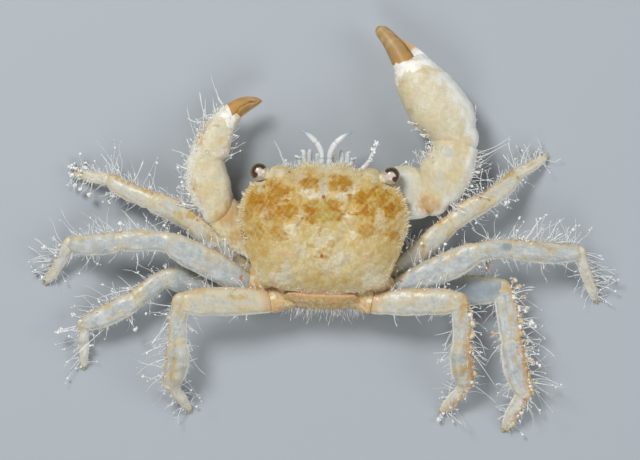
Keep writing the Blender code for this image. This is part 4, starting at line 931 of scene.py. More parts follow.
back = -np.sin(np.concatenate([angles, angles[:flankCount]]))
marks["rim"] = bell(shares - 0.968, 0.01) * ramp(back, 0.0, 0.35)
marks["rim"] *= 0.45 + 0.4 * waves(shield, 1.1, 75)
marks["rim"] += 0.5 * bell(shares - 1.0, 0.012) * ramp(waves(shield, 0.35, 77), 0.2, 1.0)
under = np.zeros_like(x)
under[1 - flankCount:] = 1
for mark in ("gold", "ochre", "deepOchre", "green", "red"):
    marks[mark] *= 1 - 0.85 * under
marks["pale"] = np.maximum(marks["pale"], under * 0.5)

parts = [tube(shield, marks)]
for sign in (-1, 1):
    for tx, ty, heading in carapace["teeth"]:
        bearing = math.radians(heading)
        way = unit(np.array([sign * math.cos(bearing), math.sin(bearing), 0.12]))
        rows = spike(np.array([sign * tx, ty, carapace["edge"] - 0.05]) - way * 0.5, way, 1.08, 0.42)
        parts.append(tube(rows, {"pale": towardsPoint(rows), "gold": 0.6 + 0 * rows[..., 0]}))
draw = np.random.default_rng(88)
granules = [(a, s, 0.9) for s in (0.99, 0.965) for a in np.linspace(64, 116, 34)]
granules += [(a, 0.99, 0.7) for a in np.concatenate([np.linspace(43, 60, 10), np.linspace(120, 137, 10)])]
sides = np.concatenate([np.linspace(-4, 34, 16), np.linspace(146, 184, 16)])
granules += [(a, s, 0.9) for s in (0.99, 0.96) for a in sides]
for degrees, at, size in granules:  # low white-tipped grains along the front and side margins
    bearing = math.radians(degrees + draw.normal(0, 0.5))
    foot = shieldSkin(np.array(at - 0.012 * draw.random()), np.array(bearing))
    if np.hypot(abs(foot[0]) - eyePlace[0], foot[1] - eyePlace[1]) < 1.25:
        continue
    way = unit(np.array([math.cos(bearing), math.sin(bearing), 0.5]) + draw.normal(0, 0.15, 3))
    long, wide = size * draw.uniform(0.2, 0.36), size * draw.uniform(0.09, 0.14)
    rows = spike(foot - way * 0.08, way, long, wide, 8, 6)
    parts.append(tube(rows, {"rim": towardsPoint(rows)}))
makePiece("shield", parts, carapaceShell, ["carapace"])
print("shield made:", triangleCount["shield"], "triangles")


# Trunk, hips and tail

trunk = {
    "outline": ((0, 5.9), (2.6, 5.8), (4.3, 4.7), (5.2, 2.6), (5.8, 0), (6.1, -2.5), (6.0, -5.5), (5.5, -8.4),
                (3, -9.3), (0, -9.4)),
    "halfHeight": 3.0, "belly": 1.5, "top": 5.3, "face": 5.5,
    "seams": (((2.4, 4.2), (5.6, 3.2)), ((2.3, 1.6), (6.0, 0.6)), ((2.3, -1.2), (6.2, -2.4)),
              ((2.4, -4.0), (6.0, -5.6)), ((0, 5.6), (0, 0.0))),
    "whitened": ((-5.7, -8.6, 0.5, 0.3, 1), (5.7, -8.7, 0.5, 0.3, 1)),  # the last hips' white edges
}
hip = {  # half breadths as shares of the widest, at shares of its length
    "places": np.array((0, 0.3, 0.5, 0.62, 0.7, 0.85, 1)),
    "shape": np.array((0.9, 1.05, 1.12, 1.0, 1.04, 1.06, 0.98)),
    "half": 0.43, "flat": 0.62,  # on legs: the widest as a share of the leg's breadth, and how flat
}
ball, angles = grid(70, 180, -0.995, 0.995)
share = (1 - np.abs(ball) ** 2.6) ** (1 / 2.6)
reach = outlineReach(trunk["outline"], angles) * share
body = np.stack([np.cos(angles) * reach, np.sin(angles) * reach,
                 trunkMiddle + trunk["halfHeight"] * ball], -1)
body[..., 1] = np.minimum(body[..., 1], trunk["face"])
body[..., 2] = np.clip(body[..., 2], trunk["belly"], trunk["top"])
seams = np.zeros(angles.shape)
for course in trunk["seams"]:
    seams = np.maximum(seams, bell(courseDistance(np.abs(body[..., 0]), body[..., 1], course), 0.14))
low = ramp(-ball, 0.3, 0.9)
body[..., 2] += low * (0.14 * seams + 0.04 * waves(body, 1.2, 80))
body[..., 2] = np.maximum(body[..., 2], trunk["belly"])
trunkMarks = {"salmon": ramp(-body[..., 1], 5.0, 8.0) * (0.5 + 0.3 * waves(body, 0.8, 82)),
              "pale": 0.75 + 0.3 * waves(body, 1.5, 81), "rim": seams * low * 0.2}
parts = [tube(body, trunkMarks)]
for name, limb in {**limbs, **claws}.items():
    points = limbPath(limb, 0.0)
    before = hipStart(limb)
    planes = jointPlanes(points, before)
    along = unit(points[0] - before)
    if name in claws:
        left, right = limb["merus"][1:]
        half, flat = (left[0] + right[0]) / 2, clawFlat["merus"]
    else:
        half, flat = limb["breadths"][0] * hip["half"], hip["flat"]
    wide = half * hip["shape"]
    side = leftOf(along)
    stub = {"start": before, "end": points[0], "along": along, "side": side, "up": np.cross(along, side),
            "planes": (along, planes[0]), "mitre": (1.0, 1.0), "outer": 1,
            "widths": (hip["places"], wide, wide), "flats": [flat] * 4, "boxy": 2.2, "tip": False,
            "seed": seed, "swell": 1.0, "grain": 0.03, "grainSize": 0.5}
    seed += 20
    skin, t, turn = limbShell(stub, 40, 0.14)
    marks = {"salmon": 0.4 + 0.45 * waves(skin, 0.5, seed), "pale": 0.45 + 0.35 * waves(skin, 0.5, seed + 1),
             "gold": 0.75 + 0.3 * waves(skin, 0.9, seed + 2),
             "rim": patches(skin, trunk["whitened"], 84, 0.3)}
    parts.append(tube(skin, marks))
makePiece("trunk", parts, carapaceShell, ["thorax"])

tail = {"topY": -8.0, "footY": -9.5, "topZ": 5.2, "footZ": 1.5, "slab": 0.9, "half": 4.3, "low": 1.9}  # mm
out = unit(np.array([0, tail["footZ"] - tail["topZ"], tail["topY"] - tail["footY"]]))
down = unit(np.array([0, tail["footY"] - tail["topY"], tail["footZ"] - tail["topZ"]]))
start = np.array([0, tail["topY"] + 0.3, 6.12]) + out * 0.14
t, turn = grid(60, 96)
length = (start[2] - tail["low"]) / -down[2]
wide = smoothCurve(t, (0, 0.1, 0.35, 0.7, 0.9, 1), (1.0, 1.02, 1.0, 0.9, 0.72, 0.45)) * tail["half"]
thick = smoothCurve(t, (0, 0.04, 0.12, 0.35, 0.7, 1), (0.52, 0.68, 0.95, 1.2, 1.1, 0.6)) * tail["slab"]
furrow = bell(np.mod(t * 3 + 0.5, 1) - 0.48, 0.12) * ramp(t, 0.1, 0.2)
thick, wide = thick * (1 - 0.25 * furrow), wide * (1 - 0.07 * furrow - 0.08 * bell(t, 0.07))
c, s = np.cos(turn), np.sin(turn)
slab = (start + (t * length)[..., None] * down + (boxed(c, 0.95) * wide)[..., None] * np.array([1, 0, 0])
        + ((0.5 + 0.5 * boxed(s, 0.7)) * thick * (1 - 0.25 * c ** 2))[..., None] * out)
slab += (0.03 * waves(slab, 0.9, 90) + 0.07 * grains(slab, 0.45, 95) * np.abs(s) ** 0.5)[..., None] * out
marks = {
    "salmon": (0.35 + 0.5 * waves(slab, 0.4, 91)
               + (0.4 + 0.3 * waves(slab, 0.3, 94)) * bell(t, 0.16)),
    "pale": 0.45 + 0.35 * waves(slab, 0.5, 92),
    "gold": 0.85 + 0.3 * waves(slab, 1.2, 96), "green": 0.15 + 0.3 * waves(slab, 0.7, 97),
    "rim": 0.4 * bell(np.mod(t * 3, 1) - 0.85, 0.07) * (0.6 + 0.6 * waves(slab, 0.6, 98)),
}
makePiece("tailBase", [tube(slab, marks)], carapaceShell, ["abdomen_base"])
t, turn = grid(90, 64)
wide = smoothCurve(t, (0, 0.25, 0.65, 0.92, 1), (0.88, 1.0, 0.68, 0.4, 0.12)) * 2.6
thick = 0.55 * (1 - 0.4 * t) * (1 - 0.2 * bell(np.mod(t * 5, 1) - 0.95, 0.12))
c, s = np.cos(turn), np.sin(turn)
flap = np.stack([boxed(c, 0.75) * wide, -8.6 + 9.5 * t, 1.2 - (0.5 - 0.5 * boxed(s, 0.75)) * thick], -1)
marks = {"pale": 0.5 + 0.3 * waves(flap, 1.5, 93), "salmon": 0.3 * bell(np.mod(t * 5, 1) - 0.9, 0.1)}
makePiece("tailFlap", [tube(flap, marks)], carapaceShell, ["abdomen_flap"])
print("trunk and tail made")


# Head: eyes on their stalks, feelers and jaw feet

def pathTube(points, radii, around, rows):
    # a tube through points on a smooth curve; rings stand across the curve and swell as the radii say
    knots = np.linspace(0, 1, len(points))
    t = np.linspace(0, 1, rows)
    line = np.stack([smoothCurve(t, knots, np.array(points)[:, i]) for i in range(3)], -1)
    radius = smoothCurve(t, np.linspace(0, 1, len(radii)), radii)
    way = unit(np.gradient(line, axis=0))
    side = unit(np.cross(way, (0, 0, 1.0)))
    up = np.cross(side, way)
    turn = np.linspace(0, 2 * np.pi, around, endpoint=False)
    ring = np.cos(turn)[None, :, None] * side[:, None] + np.sin(turn)[None, :, None] * up[:, None]
    return line[:, None] + ring * radius[:, None, None], np.broadcast_to(t[:, None], (rows, around))


feelers = {  # course of the right one, radii along it, and how many rings
    "antennule": (((0.5, 5.87, 4.82), (0.48, 7.2, 4.97), (0.5, 8.5, 5.15), (0.95, 9.55, 5.4),
                   (1.65, 10.3, 5.55), (2.4, 10.85, 5.6), (3.1, 11.12, 5.6)),
                  (0.36, 0.36, 0.33, 0.37, 0.33, 0.22, 0.05), 60),
    "antenna": (((3.1, 5.87, 4.7), (4.3, 6.75, 4.85), (5.05, 7.7, 5.1), (5.45, 8.7, 5.4), (6.1, 9.85, 5.8)),
                (0.36, 0.38, 0.24, 0.14, 0.05), 48),
}
# x and y of each palp's tip, and its outward lean
palps = ((0.95, 8.6, 0.0), (1.9, 8.95, 0.15), (2.6, 8.85, 0.4), (3.2, 8.2, 0.5))
for sideName, sign in (("Left", -1), ("Right", 1)):
    flip = np.array([sign, 1, 1])
    low = sideName.lower()
    course = np.array(stalkCourse) * flip
    eye = course[-1]
    rows, t = pathTube(course, (0.5, 0.56, 0.6, 0.82), 40, 36)
    stalk = tube(rows, {"cream": 0.6 - 0.4 * t})
    makePiece("eyeStalk" + sideName, [stalk], feelerSkin, ["eyestalk_" + low])
    ballWay = ballWays(72, 108)
    outX, foreY, upZ = ballWay[..., 0] * sign, ballWay[..., 1], ballWay[..., 2]
    bearing, off = np.degrees(np.arctan2(foreY, outX)), np.hypot(outX, foreY)
    facing = ramp(bearing, -75, -50) * (1 - ramp(bearing, 138, 160))
    above = ramp(upZ, -0.15, 0.15)
    crescent = bell(off - 0.66, 0.2) * facing * above
    blob = bell(np.hypot(outX - 0.38, foreY + 0.36), 0.32) * above
    inward = courseDistance(outX, foreY, ((0.05, 0.02), (-1.3, -0.6)))
    tongue = (1 - ramp(inward, 0.26, 0.4)) * above + ramp(-0.9 * outX - 0.44 * foreY, 0.62, 0.85)
    marks = {"olive": bell(off - 0.68, 0.3) * facing * above + 0.8 * facing * (1 - above),
             "dark": crescent * 1.2, "maroon": blob * 1.3, "tongue": tongue * (1 - blob)}
    cornea = tube(eye + ballWay * eyeRadius, marks)
    makePiece("eye" + sideName, [cornea], eyeCornea, ["eye_" + low])
    for feeler, (course, radii, joints) in feelers.items():
        slim = 0.6 if (feeler, sideName) == ("antenna", "Left") else 1.0  # the photo barely shows this one
        rows, t = pathTube(np.array(course) * flip, np.array(radii) * slim, 24, 120)
        middle = rows.mean(1, keepdims=True)
        joint = np.mod(t * 3.4, 1) - 0.9
        rings = 1 + 0.07 * np.cos(2 * np.pi * joints * t) * ramp(t, 0.5, 0.7) - 0.16 * bell(joint, 0.06)
        rows = middle + (rows - middle) * rings[..., None]
        blue = ramp(t, 0.6, 1.0) if feeler == "antennule" else 0 * t
        marks = {"ringed": 0.6 * bell(joint, 0.08), "bluish": blue}
        makePiece(feeler + sideName, [tube(rows, marks)], feelerSkin, [f"{feeler}_{low}"])
    soft = boxed(ballWays(40, 64), 0.7)
    plate = soft * np.array([1.25, 0.42, 1.4]) + np.array([sign * 1.4, 6.2, 2.9])
    plate[..., 1] += 0.12 * bell(np.abs(plate[..., 0]) - 1.0, 0.25) * (soft[..., 1] > 0)
    marks = {"cream": 0.9 + 0.3 * waves(plate, 1.0, 95), "ringed": 0.6 * bell(plate[..., 2] - 3.3, 0.08)}
    parts = [tube(plate, marks)]
    for px, py, lean in palps:
        course = ((sign * (0.5 + 0.62 * px), 6.2, 3.44), (sign * px * 0.92, 7.0, 3.75),
                  (sign * (px - 0.1 * lean), 7.9, 3.87), (sign * px, py - 0.2, 3.9),
                  (sign * (px + lean), py, 3.9))
        rows, t = pathTube(course, (0.3, 0.3, 0.27, 0.3, 0.27, 0.08), 18, 44)
        parts.append(tube(rows, {"cream": 0.4 * (1 - t), "ringed": 0.5 * bell(t - 0.6, 0.05)}))
    makePiece("jawFoot" + sideName, parts, feelerSkin, ["mouthpart_" + low])
print("head made")


# Coat: setae along the limbs, on the shield's edge and over the head, with the crumbs that cling to them

seta = {
    "stations": np.array([0.0, 0.16, 0.34, 0.52, 0.68, 0.82, 0.92, 1.0]),  # shares of the length
    "sides": 3, "patch": 0.003,  # corners round it, and the size of its patch on the unwrap
    "sunk": 0.12,  # mm that each root sits in the shell
}
setaChitin, tree, shader = newMaterial("setaChitin")
# bristles of clear chitin: brownish at the root, white and half clear further out, tan where dirt clings
amounts = []
for mark, least, most in (("tip", 0.0, 0.22), ("tone", 0.45, 1.0)):
    value = addNode(tree, "Attribute", {"attribute_name": mark}, output="Fac")
    amounts.append(addNode(tree, "MapRange", {"From Min": least, "From Max": most}, {"Value": value}))
shades = {"data_type": "RGBA", 6: linear("#c4b7a0"), 7: linear("#f6f7f5")}
colour = addNode(tree, "Mix", shades, {0: amounts[0]}, 2)
colour = addNode(tree, "Mix", {"data_type": "RGBA", 7: linear("#cdb487")}, {0: amounts[1], 6: colour}, 2)
tree.links.new(colour, shader.inputs["Base Color"])
for socket, value in (("Roughness", 0.38), ("Subsurface Weight", 0.3), ("Subsurface Radius", (1.0, 0.9, 0.8)),
                      ("Subsurface Scale", 0.15 * metre)):
    shader.inputs[socket].default_value = value

roomLow = np.array(cadLow) / metre - crabPlace
roomHigh = np.array(cadHigh) / metre - crabPlace
margin = 0.012 * (roomHigh - roomLow)  # how far the coat may reach past the solids' box


def growSetae(roots, ways, bends, lengths, radii, spread, draw, clubbed=0.0, tone=0.0):
    # each bristle is a thin three-sided tube on a parabola: root + way x length x s + bend x length x s
    # squared, with a slow waver, its radius falling to a point, and a swollen end on some
    for _ in range(4):  # what would reach past the solids' box becomes shorter
        tips = roots + (ways + bends) * lengths[:, None]
        over = np.any((tips > roomHigh + margin) | (tips < roomLow - margin), axis=1)
        lengths = np.where(over, lengths * 0.7, lengths)
    count, s = len(roots), seta["stations"]
    roots = roots - ways * seta["sunk"]
    run, droop = ways * lengths[:, None], bends * lengths[:, None]
    line = roots[:, None] + run[:, None] * s[:, None] + droop[:, None] * (s ** 2)[:, None]
    across = unit(np.cross(ways, draw.normal(size=(count, 3))))
    over = np.cross(ways, across)
    phase, turns = draw.uniform(0, 6.3, (count, 1)), draw.uniform(0.6, 1.6, (count, 1))
    sway = draw.uniform(0.01, 0.075, (count, 1)) * lengths[:, None] * s
    line = line + (sway * np.sin(phase + 2 * np.pi * turns * s))[..., None] * across[:, None]
    line = line + (sway * np.sin(phase * 2 + 2 * np.pi * turns * s * 0.8))[..., None] * over[:, None]
    taper = np.clip(1 - 0.72 * s ** 1.3, 0, 1)
    swollen = (draw.random((count, 1)) < clubbed) * draw.uniform(0.3, 1.1, (count, 1))
    wide = radii[:, None] * (taper + swollen * bell(s - 0.85, 0.14))
    turn = np.arange(seta["sides"]) * 2 * np.pi / seta["sides"]
    ring = (np.cos(turn)[None, None, :, None] * across[:, None, None]
            + np.sin(turn)[None, None, :, None] * over[:, None, None])
    rings = line[:, :-1, None] + ring * wide[:, :-1, None, None]
    stations, sides = len(s) - 1, seta["sides"]
    perHair = stations * sides + 1
    corners = np.concatenate([rings.reshape(count, -1, 3), line[:, -1:]], 1)
    corners[..., 2] = np.maximum(corners[..., 2], 0.02)
    k, j = np.meshgrid(np.arange(stations - 1), np.arange(sides), indexing="ij")
    following = (j + 1) % sides
    quads = np.stack([k * sides + j, k * sides + following, (k + 1) * sides + following,
                      (k + 1) * sides + j], -1)
    last = (stations - 1) * sides
    tris = [[last + i, last + (i + 1) % sides, perHair - 1] for i in range(sides)] + [[2, 1, 0]]
    base = np.arange(count)[:, None, None] * perHair
    along = np.append(np.repeat(s[:-1], sides), 1.0)
    roundabout = np.append(np.tile(np.arange(sides) / sides, stations), 0.5)
    patch = np.stack([along - 0.5, roundabout - 0.5], -1) * seta["patch"]
    tones = np.clip(draw.normal(tone, 0.25, (count, 1)), 0, 1)
    return {"corners": corners.reshape(-1, 3), "quads": (quads.reshape(1, -1, 4) + base).reshape(-1, 4),
            "tris": (np.array(tris)[None] + base).reshape(-1, 3),
            "marks": {"tip": np.tile(along, count), "tone": np.repeat(tones, perHair, axis=1).ravel()},
            "spread": (spread[:, None] + patch).reshape(-1, 2), "line": line}


# the corners and faces of an even twenty-sided grain, its corners at nought, one and the golden ratio
golden = (1 + math.sqrt(5)) / 2
crumbCorners = unit(np.array([[0, a, b * golden] for a in (-1, 1) for b in (-1, 1)]
                             + [[a, b * golden, 0] for a in (-1, 1) for b in (-1, 1)]
                             + [[b * golden, 0, a] for a in (-1, 1) for b in (-1, 1)], float))
near = np.linalg.norm(crumbCorners[:, None] - crumbCorners, axis=-1) < 1.2
crumbFaces = np.array([[i, j, k] if np.linalg.det(crumbCorners[[i, j, k]]) > 0 else [i, k, j]
                       for i in range(12) for j in range(i + 1, 12) for k in range(j + 1, 12)
                       if near[i, j] and near[j, k] and near[i, k]])


def crumbs(places, sizes, spread, draw, tone=0.6):
    # bits of dirt: twenty-sided grains, each corner pushed in or out at random and the whole pulled long
    count = len(places)
    pull = draw.uniform(0.5, 1.3, (count, 1, 3)) * sizes[:, None, None]
    corners = crumbCorners * draw.uniform(0.65, 1.35, (count, 12, 1)) * pull
    spin = draw.uniform(0, 6.3, count)
    c, s = np.cos(spin)[:, None], np.sin(spin)[:, None]
    corners = np.stack([corners[..., 0] * c - corners[..., 1] * s, corners[..., 0] * s + corners[..., 1] * c,
                        corners[..., 2]], -1) + places[:, None]
    corners[..., 2] = np.maximum(corners[..., 2], 0.02)
    tones = np.clip(draw.normal(tone, 0.3, (count, 1)), 0, 1)
    return {"corners": corners.reshape(-1, 3), "quads": np.zeros((0, 4), int),
            "tris": (crumbFaces[None] + np.arange(count)[:, None, None] * 12).reshape(-1, 3),
            "marks": {"tip": np.ones(count * 12), "tone": np.repeat(tones, 12, axis=1).ravel()},
            "spread": (spread[:, None] + crumbCorners[None, :, :2] * seta["patch"] / 2).reshape(-1, 2)}


def coatPlace(number, pieces, t, turn):
    # where roots lie on the unwrap, on which the limb's pieces stand side by side
    return np.stack([(number + 0.05 + 0.9 * t) / pieces, 0.05 + 0.9 * np.mod(turn / (2 * np.pi), 1)], -1)


def limbSetae(piece, row, number, pieces, draw):
    # a row of setae: how many to the mm, where round the limb, how long and thick, how far they lean and bend
    length = np.linalg.norm(piece["end"] - piece["start"])
    low, high = row.get("span", (0.03, 0.98))
    count = int(row["perMm"] * length * (high - low))
    if count == 0:
        return []
    clumps = max(1, math.ceil(count / row.get("clump", 1)))
    held = np.sort(draw.integers(0, clumps, count))
    t = low + (high - low) * (held + draw.uniform(0, 1, clumps)[held]) / clumps
    t = np.clip(t + draw.normal(0, 0.09, count) / length, 0.0, 1.0)
    turn = np.radians(draw.normal(row["turn"], row["scatter"], count))
    roots = limbSkin(piece, t, turn)
    side = unit(outward(piece, turn) + 0.32 * draw.normal(size=(count, 3)) * row["stray"])
    lean = np.clip(draw.normal(row["lean"], 0.3, count), -0.4, 1.5)
    ways = unit(side + lean[:, None] * piece["along"])
    bends = (piece["along"] * draw.normal(row["bend"], 0.15, (count, 1)) + 0.12 * draw.normal(size=(count, 3))
             + np.array([0, 0, row.get("lift", 0.0)]))
    shortest, longest = row["length"]
    lengths = shortest + (longest - shortest) * draw.random(count) ** row.get("skew", 1.6)
    radii = row["radius"] * draw.uniform(0.55, 1.25, count)
    spread = coatPlace(number, pieces, t, turn)
    grown = growSetae(roots, ways, bends, lengths, radii, spread, draw, row.get("clubbed", 0.0),
                      row.get("tone", 0.0))
    made = [grown]
    dirty = np.flatnonzero(draw.random(count) < row.get("dirty", 0.0))
    if len(dirty):
        for share, first in ((0.8, 6), (0.6, 5), (0.5, 3), (0.3, 1)):  # most at the ends, in uneven clots
            held = dirty[draw.random(len(dirty)) < share]
            station = draw.integers(first, len(seta["stations"]), len(held))
            places = grown["line"][held, station] + draw.normal(0, 0.05, (len(held), 3))
            sizes = (0.04 + 0.14 * draw.random(len(held)) ** 2) * row["radius"] / 0.06
            made.append(crumbs(places, sizes, spread[held], draw, 0.15))
    return made


legRows = (
    {"perMm": 2.7, "turn": 2, "scatter": 11, "length": (0.9, 4.2), "radius": 0.058, "lean": 0.22,
     "bend": 0.25, "stray": 1.1, "clubbed": 0.4, "dirty": 0.65, "lift": 0.03, "skew": 1.6, "clump": 1.8},
    {"perMm": 9.0, "turn": 4, "scatter": 20, "length": (0.3, 1.0), "radius": 0.042, "lean": 0.35,
     "bend": 0.2, "stray": 1.0, "tone": 0.1, "dirty": 0.12},
    {"perMm": 2.0, "turn": 180, "scatter": 12, "length": (0.6, 3.0), "radius": 0.05, "lean": 0.2,
     "bend": 0.2, "stray": 1.1, "clubbed": 0.35, "dirty": 0.4, "skew": 1.6, "clump": 2},
    {"perMm": 6.0, "turn": 180, "scatter": 18, "length": (0.25, 0.75), "radius": 0.036, "lean": 0.35,
     "bend": 0.2, "stray": 1.0, "tone": 0.1},
    {"perMm": 2.5, "turn": 75, "scatter": 40, "length": (0.2, 0.8), "radius": 0.03, "lean": 0.8, "bend": 0.3,
     "stray": 1.0, "tone": 0.2},
    {"perMm": 3.0, "turn": 270, "scatter": 40, "length": (0.25, 1.0), "radius": 0.03, "lean": 0.8,
     "bend": 0.2, "stray": 1.0, "tone": 0.2},
)
tufts = {  # stretches where the photo shows the coat thick and laden with dirt
    ("legLeft1", "dactylus"): {"perMm": 14, "dirty": 0.9, "scatter": 90, "length": (0.3, 1.4),
                               "span": (0.4, 1)},
    ("legLeft1", "propodus"): {"perMm": 3.5, "dirty": 0.8, "span": (0.5, 1)},
    ("legLeft2", "dactylus"): {"perMm": 3, "dirty": 0.8},
    ("legLeft3", "carpus"): {"perMm": 4, "span": (0.7, 1)},
    ("legRight1", "dactylus"): {"perMm": 4, "dirty": 0.8},
    ("legRight2", "dactylus"): {"perMm": 4, "dirty": 0.8},
    ("legRight3", "carpus"): {"perMm": 3, "dirty": 0.9},
    ("legRight3", "propodus"): {"perMm": 2.5, "dirty": 0.9},
    ("legRight2", "propodus"): {"perMm": 2, "dirty": 0.6},
}
knots = {  # bits of dirt caught in the coat: x, y, height, how wide and how tan
    "legRight3": ((22.7, -5.7, 3.3, 0.42, 0.9), (23.3, -6.5, 3.3, 0.4, 0.8), (23.9, -7.6, 3.2, 0.35, 0.9),
                  (25.0, -10.7, 3.4, 0.5, 0.4), (25.5, -11.1, 3.4, 0.3, 0.3), (24.9, -15.2, 3.0, 0.5, 0.9),
                  (25.4, -15.5, 3.0, 0.3, 0.5), (19.8, -3.8, 3.4, 0.4, 0.9), (19.6, -4.5, 3.4, 0.4, 0.9),
                  (20.6, -12.2, 3.4, 0.4, 0.9), (24.6, -13.1, 3.2, 0.3, 0.8), (24.3, -9.2, 3.3, 0.4, 0.9)),
    "legRight2": ((23.4, -0.7, 5.4, 0.35, 0.6), (23.9, -0.9, 5.4, 0.3, 0.5), (22.8, 0.1, 5.4, 0.25, 0.1),
                  (24.6, -1.3, 5.4, 0.25, 0.6)),
    "legRight1": ((21.5, 3.4, 3.6, 0.35, 0.1), (21.8, 3.6, 3.6, 0.2, 0.1), (20.4, 1.8, 3.8, 0.25, 0.1)),
    "legRight4": ((14.5, -22.7, 0.6, 0.3, 0.1), (14.8, -22.3, 0.6, 0.2, 0.1)),
    "legLeft3": ((-30.8, -13.3, 2.2, 0.35, 0.0), (-31.2, -13.5, 2.2, 0.3, 0.0),
                 (-21.9, -13.0, 2.8, 0.3, 0.0), (-22.9, -11.7, 3.0, 0.25, 0.8),
                 (-29.4, -11.5, 2.6, 0.3, 0.1), (-28.5, -12.2, 3.0, 0.25, 0.2),
                 (-18.6, -5.3, 3.2, 0.3, 0.1)),
    "legLeft1": ((-30.3, 6.1, 0.9, 0.35, 0.2), (-29.9, 3.9, 1.0, 0.3, 0.2), (-29.1, 3.5, 1.3, 0.35, 0.2),
                 (-27.9, 2.9, 1.8, 0.4, 0.4), (-25.1, 2.8, 3.0, 0.35, 0.3), (-20.7, 3.9, 3.9, 0.35, 0.3),
                 (-30.2, 5.1, 0.8, 0.35, 0.3), (-29.7, 5.9, 1.0, 0.35, 0.2), (-28.6, 6.1, 1.4, 0.3, 0.1)),
    "legLeft2": ((-24.0, -0.4, 5.4, 0.3, 0.1), (-33.0, -3.6, 4.0, 0.3, 0.1), (-21.7, -6.2, 5.0, 0.2, 0.0)),
}


def clots(places, draw, shells=()):
    # twelve grains hang together round each place, near its own tone, on a bristle from the nearest shell
    places = np.array(places)
    held = np.repeat(places, 12, axis=0)
    at = held[:, :3] + 0.36 * draw.normal(size=(len(held), 3)) * held[:, 3:4]
    spread = 0.5 + draw.uniform(-0.3, 0.3, (len(held), 2))
    made = [crumbs(at, held[:, 3] * draw.uniform(0.25, 0.6, len(held)), spread, draw, held[:, 4:])]
    if shells:
        t, turn = np.meshgrid(np.linspace(0, 1, 24), np.linspace(0, 2 * np.pi, 16), indexing="ij")
        skin = np.concatenate([limbSkin(shell, t, turn).reshape(-1, 3) for shell in shells])
        roots = skin[np.linalg.norm(skin - places[:, None, :3], axis=-1).argmin(1)]
        reach = np.linalg.norm(places[:, :3] - roots, axis=-1)
        ways, radii = unit(places[:, :3] - roots), np.full(len(roots), 0.09)
        made.append(growSetae(roots, ways, 0 * roots, reach, radii, spread[::12], draw, 0.0, 0.2))
    return made


legCoat = {
    "length": {"merus": 0.6, "carpus": 0.85, "propodus": 1.0, "dactylus": 0.8},  # shares of a row's own
    "front": 0.7, "rear": 0.35,  # shares of a row's number, on the merus
    "crumbs": 11,  # bits of dirt to the mm where caked
}
draw = np.random.default_rng(417)
for name in limbs:
    parts = []
    if name in knots:
        parts = clots(knots[name], draw, [limbSurfaces[name, piece] for piece in legPieces])
    for number, piece in enumerate(legPieces):
        surface, rows = limbSurfaces[name, piece], legRows
        if (name, piece) in tufts:
            rows += ({**legRows[0], **tufts[name, piece]},)
        for row in rows:
            fewer = 1.0
            if piece == "merus":
                fewer = legCoat["rear"] if row["turn"] > 100 else legCoat["front"]
            lengths = tuple(long * legCoat["length"][piece] for long in row["length"])
            own = {**row, "perMm": row["perMm"] * fewer, "length": lengths}
            parts += limbSetae(surface, own, number, len(legPieces), draw)
        if name in legLook["littered"] and piece != "merus":  # crumbs caked along the outer margin
            length = np.linalg.norm(surface["end"] - surface["start"])
            count = int(legCoat["crumbs"] * length * legLook["littered"][name])
            t, turn = draw.uniform(0.05, 0.98, count), np.radians(draw.normal(0, 18, count))
            sizes = 0.08 + 0.34 * draw.random(count) ** 2.5
            places = limbSkin(surface, t, turn, 1.02 + 0.16 * draw.random(count) ** 2)
            parts.append(crumbs(places, sizes, coatPlace(number, len(legPieces), t, turn), draw, 0.85))
    makePiece(name + "Setae", parts, setaChitin)
print("leg setae grown:", sum(triangleCount.values()), "triangles")
clawRows = {
    ("clawLeft", "merus"): ({"perMm": 2, "turn": 5, "scatter": 18, "length": (0.4, 1.6)},),
    ("clawLeft", "carpus"): (
        {"perMm": 2.6, "turn": 5, "scatter": 16, "length": (1.0, 3.2), "radius": 0.075},
        {"perMm": 7, "turn": 5, "scatter": 20, "length": (0.3, 0.9)},
        {"perMm": 6, "turn": 178, "scatter": 10, "length": (1.6, 3.6), "span": (0.86, 0.97), "lean": 0.9},
        {"perMm": 4, "turn": 70, "scatter": 35, "length": (0.2, 0.6), "radius": 0.03},
    ),
    ("clawLeft", "palm"): (
        {"perMm": 2.8, "turn": 5, "scatter": 16, "length": (1.0, 3.4), "radius": 0.078},
        {"perMm": 7, "turn": 5, "scatter": 20, "length": (0.3, 0.9)},
        {"perMm": 2.2, "turn": 178, "scatter": 14, "length": (0.5, 1.9), "clubbed": 0.8},
        {"perMm": 4, "turn": 70, "scatter": 35, "length": (0.2, 0.6), "radius": 0.03},
    ),
    ("clawRight", "merus"): ({"perMm": 1.5, "turn": 178, "scatter": 14, "length": (0.3, 1.2)},),
    ("clawRight", "carpus"): (
        {"perMm": 4.5, "turn": 2, "scatter": 18, "length": (1.2, 4.2), "lean": 0.1, "skew": 1.0},
        {"perMm": 9, "turn": 2, "scatter": 20, "length": (0.4, 1.2)},
        {"perMm": 16, "turn": 176, "scatter": 20, "length": (0.3, 1.1), "span": (0.4, 0.98)},
        {"perMm": 5, "turn": 176, "scatter": 12, "length": (1.2, 2.8), "span": (0.36, 0.5)},
    ),
    ("clawRight", "palm"): (
        {"perMm": 12, "turn": 178, "scatter": 16, "length": (0.2, 0.9), "span": (0.02, 0.42)},
        {"perMm": 8, "turn": 0, "scatter": 18, "length": (0.3, 1.3), "span": (0.01, 0.13)},
    ),
}
clawRow = {"radius": 0.06, "lean": 0.3, "bend": 0.22, "stray": 1.0, "clubbed": 0.45, "dirty": 0.4,
           "skew": 1.3, "clump": 1.6}
for name in claws:
    parts = []
    for number, piece in enumerate(("merus", "carpus", "palm")):
        for row in clawRows[name, piece]:
            parts += limbSetae(limbSurfaces[name, piece], {**clawRow, **row}, number, 3, draw)
    makePiece(name + "Setae", parts, setaChitin)


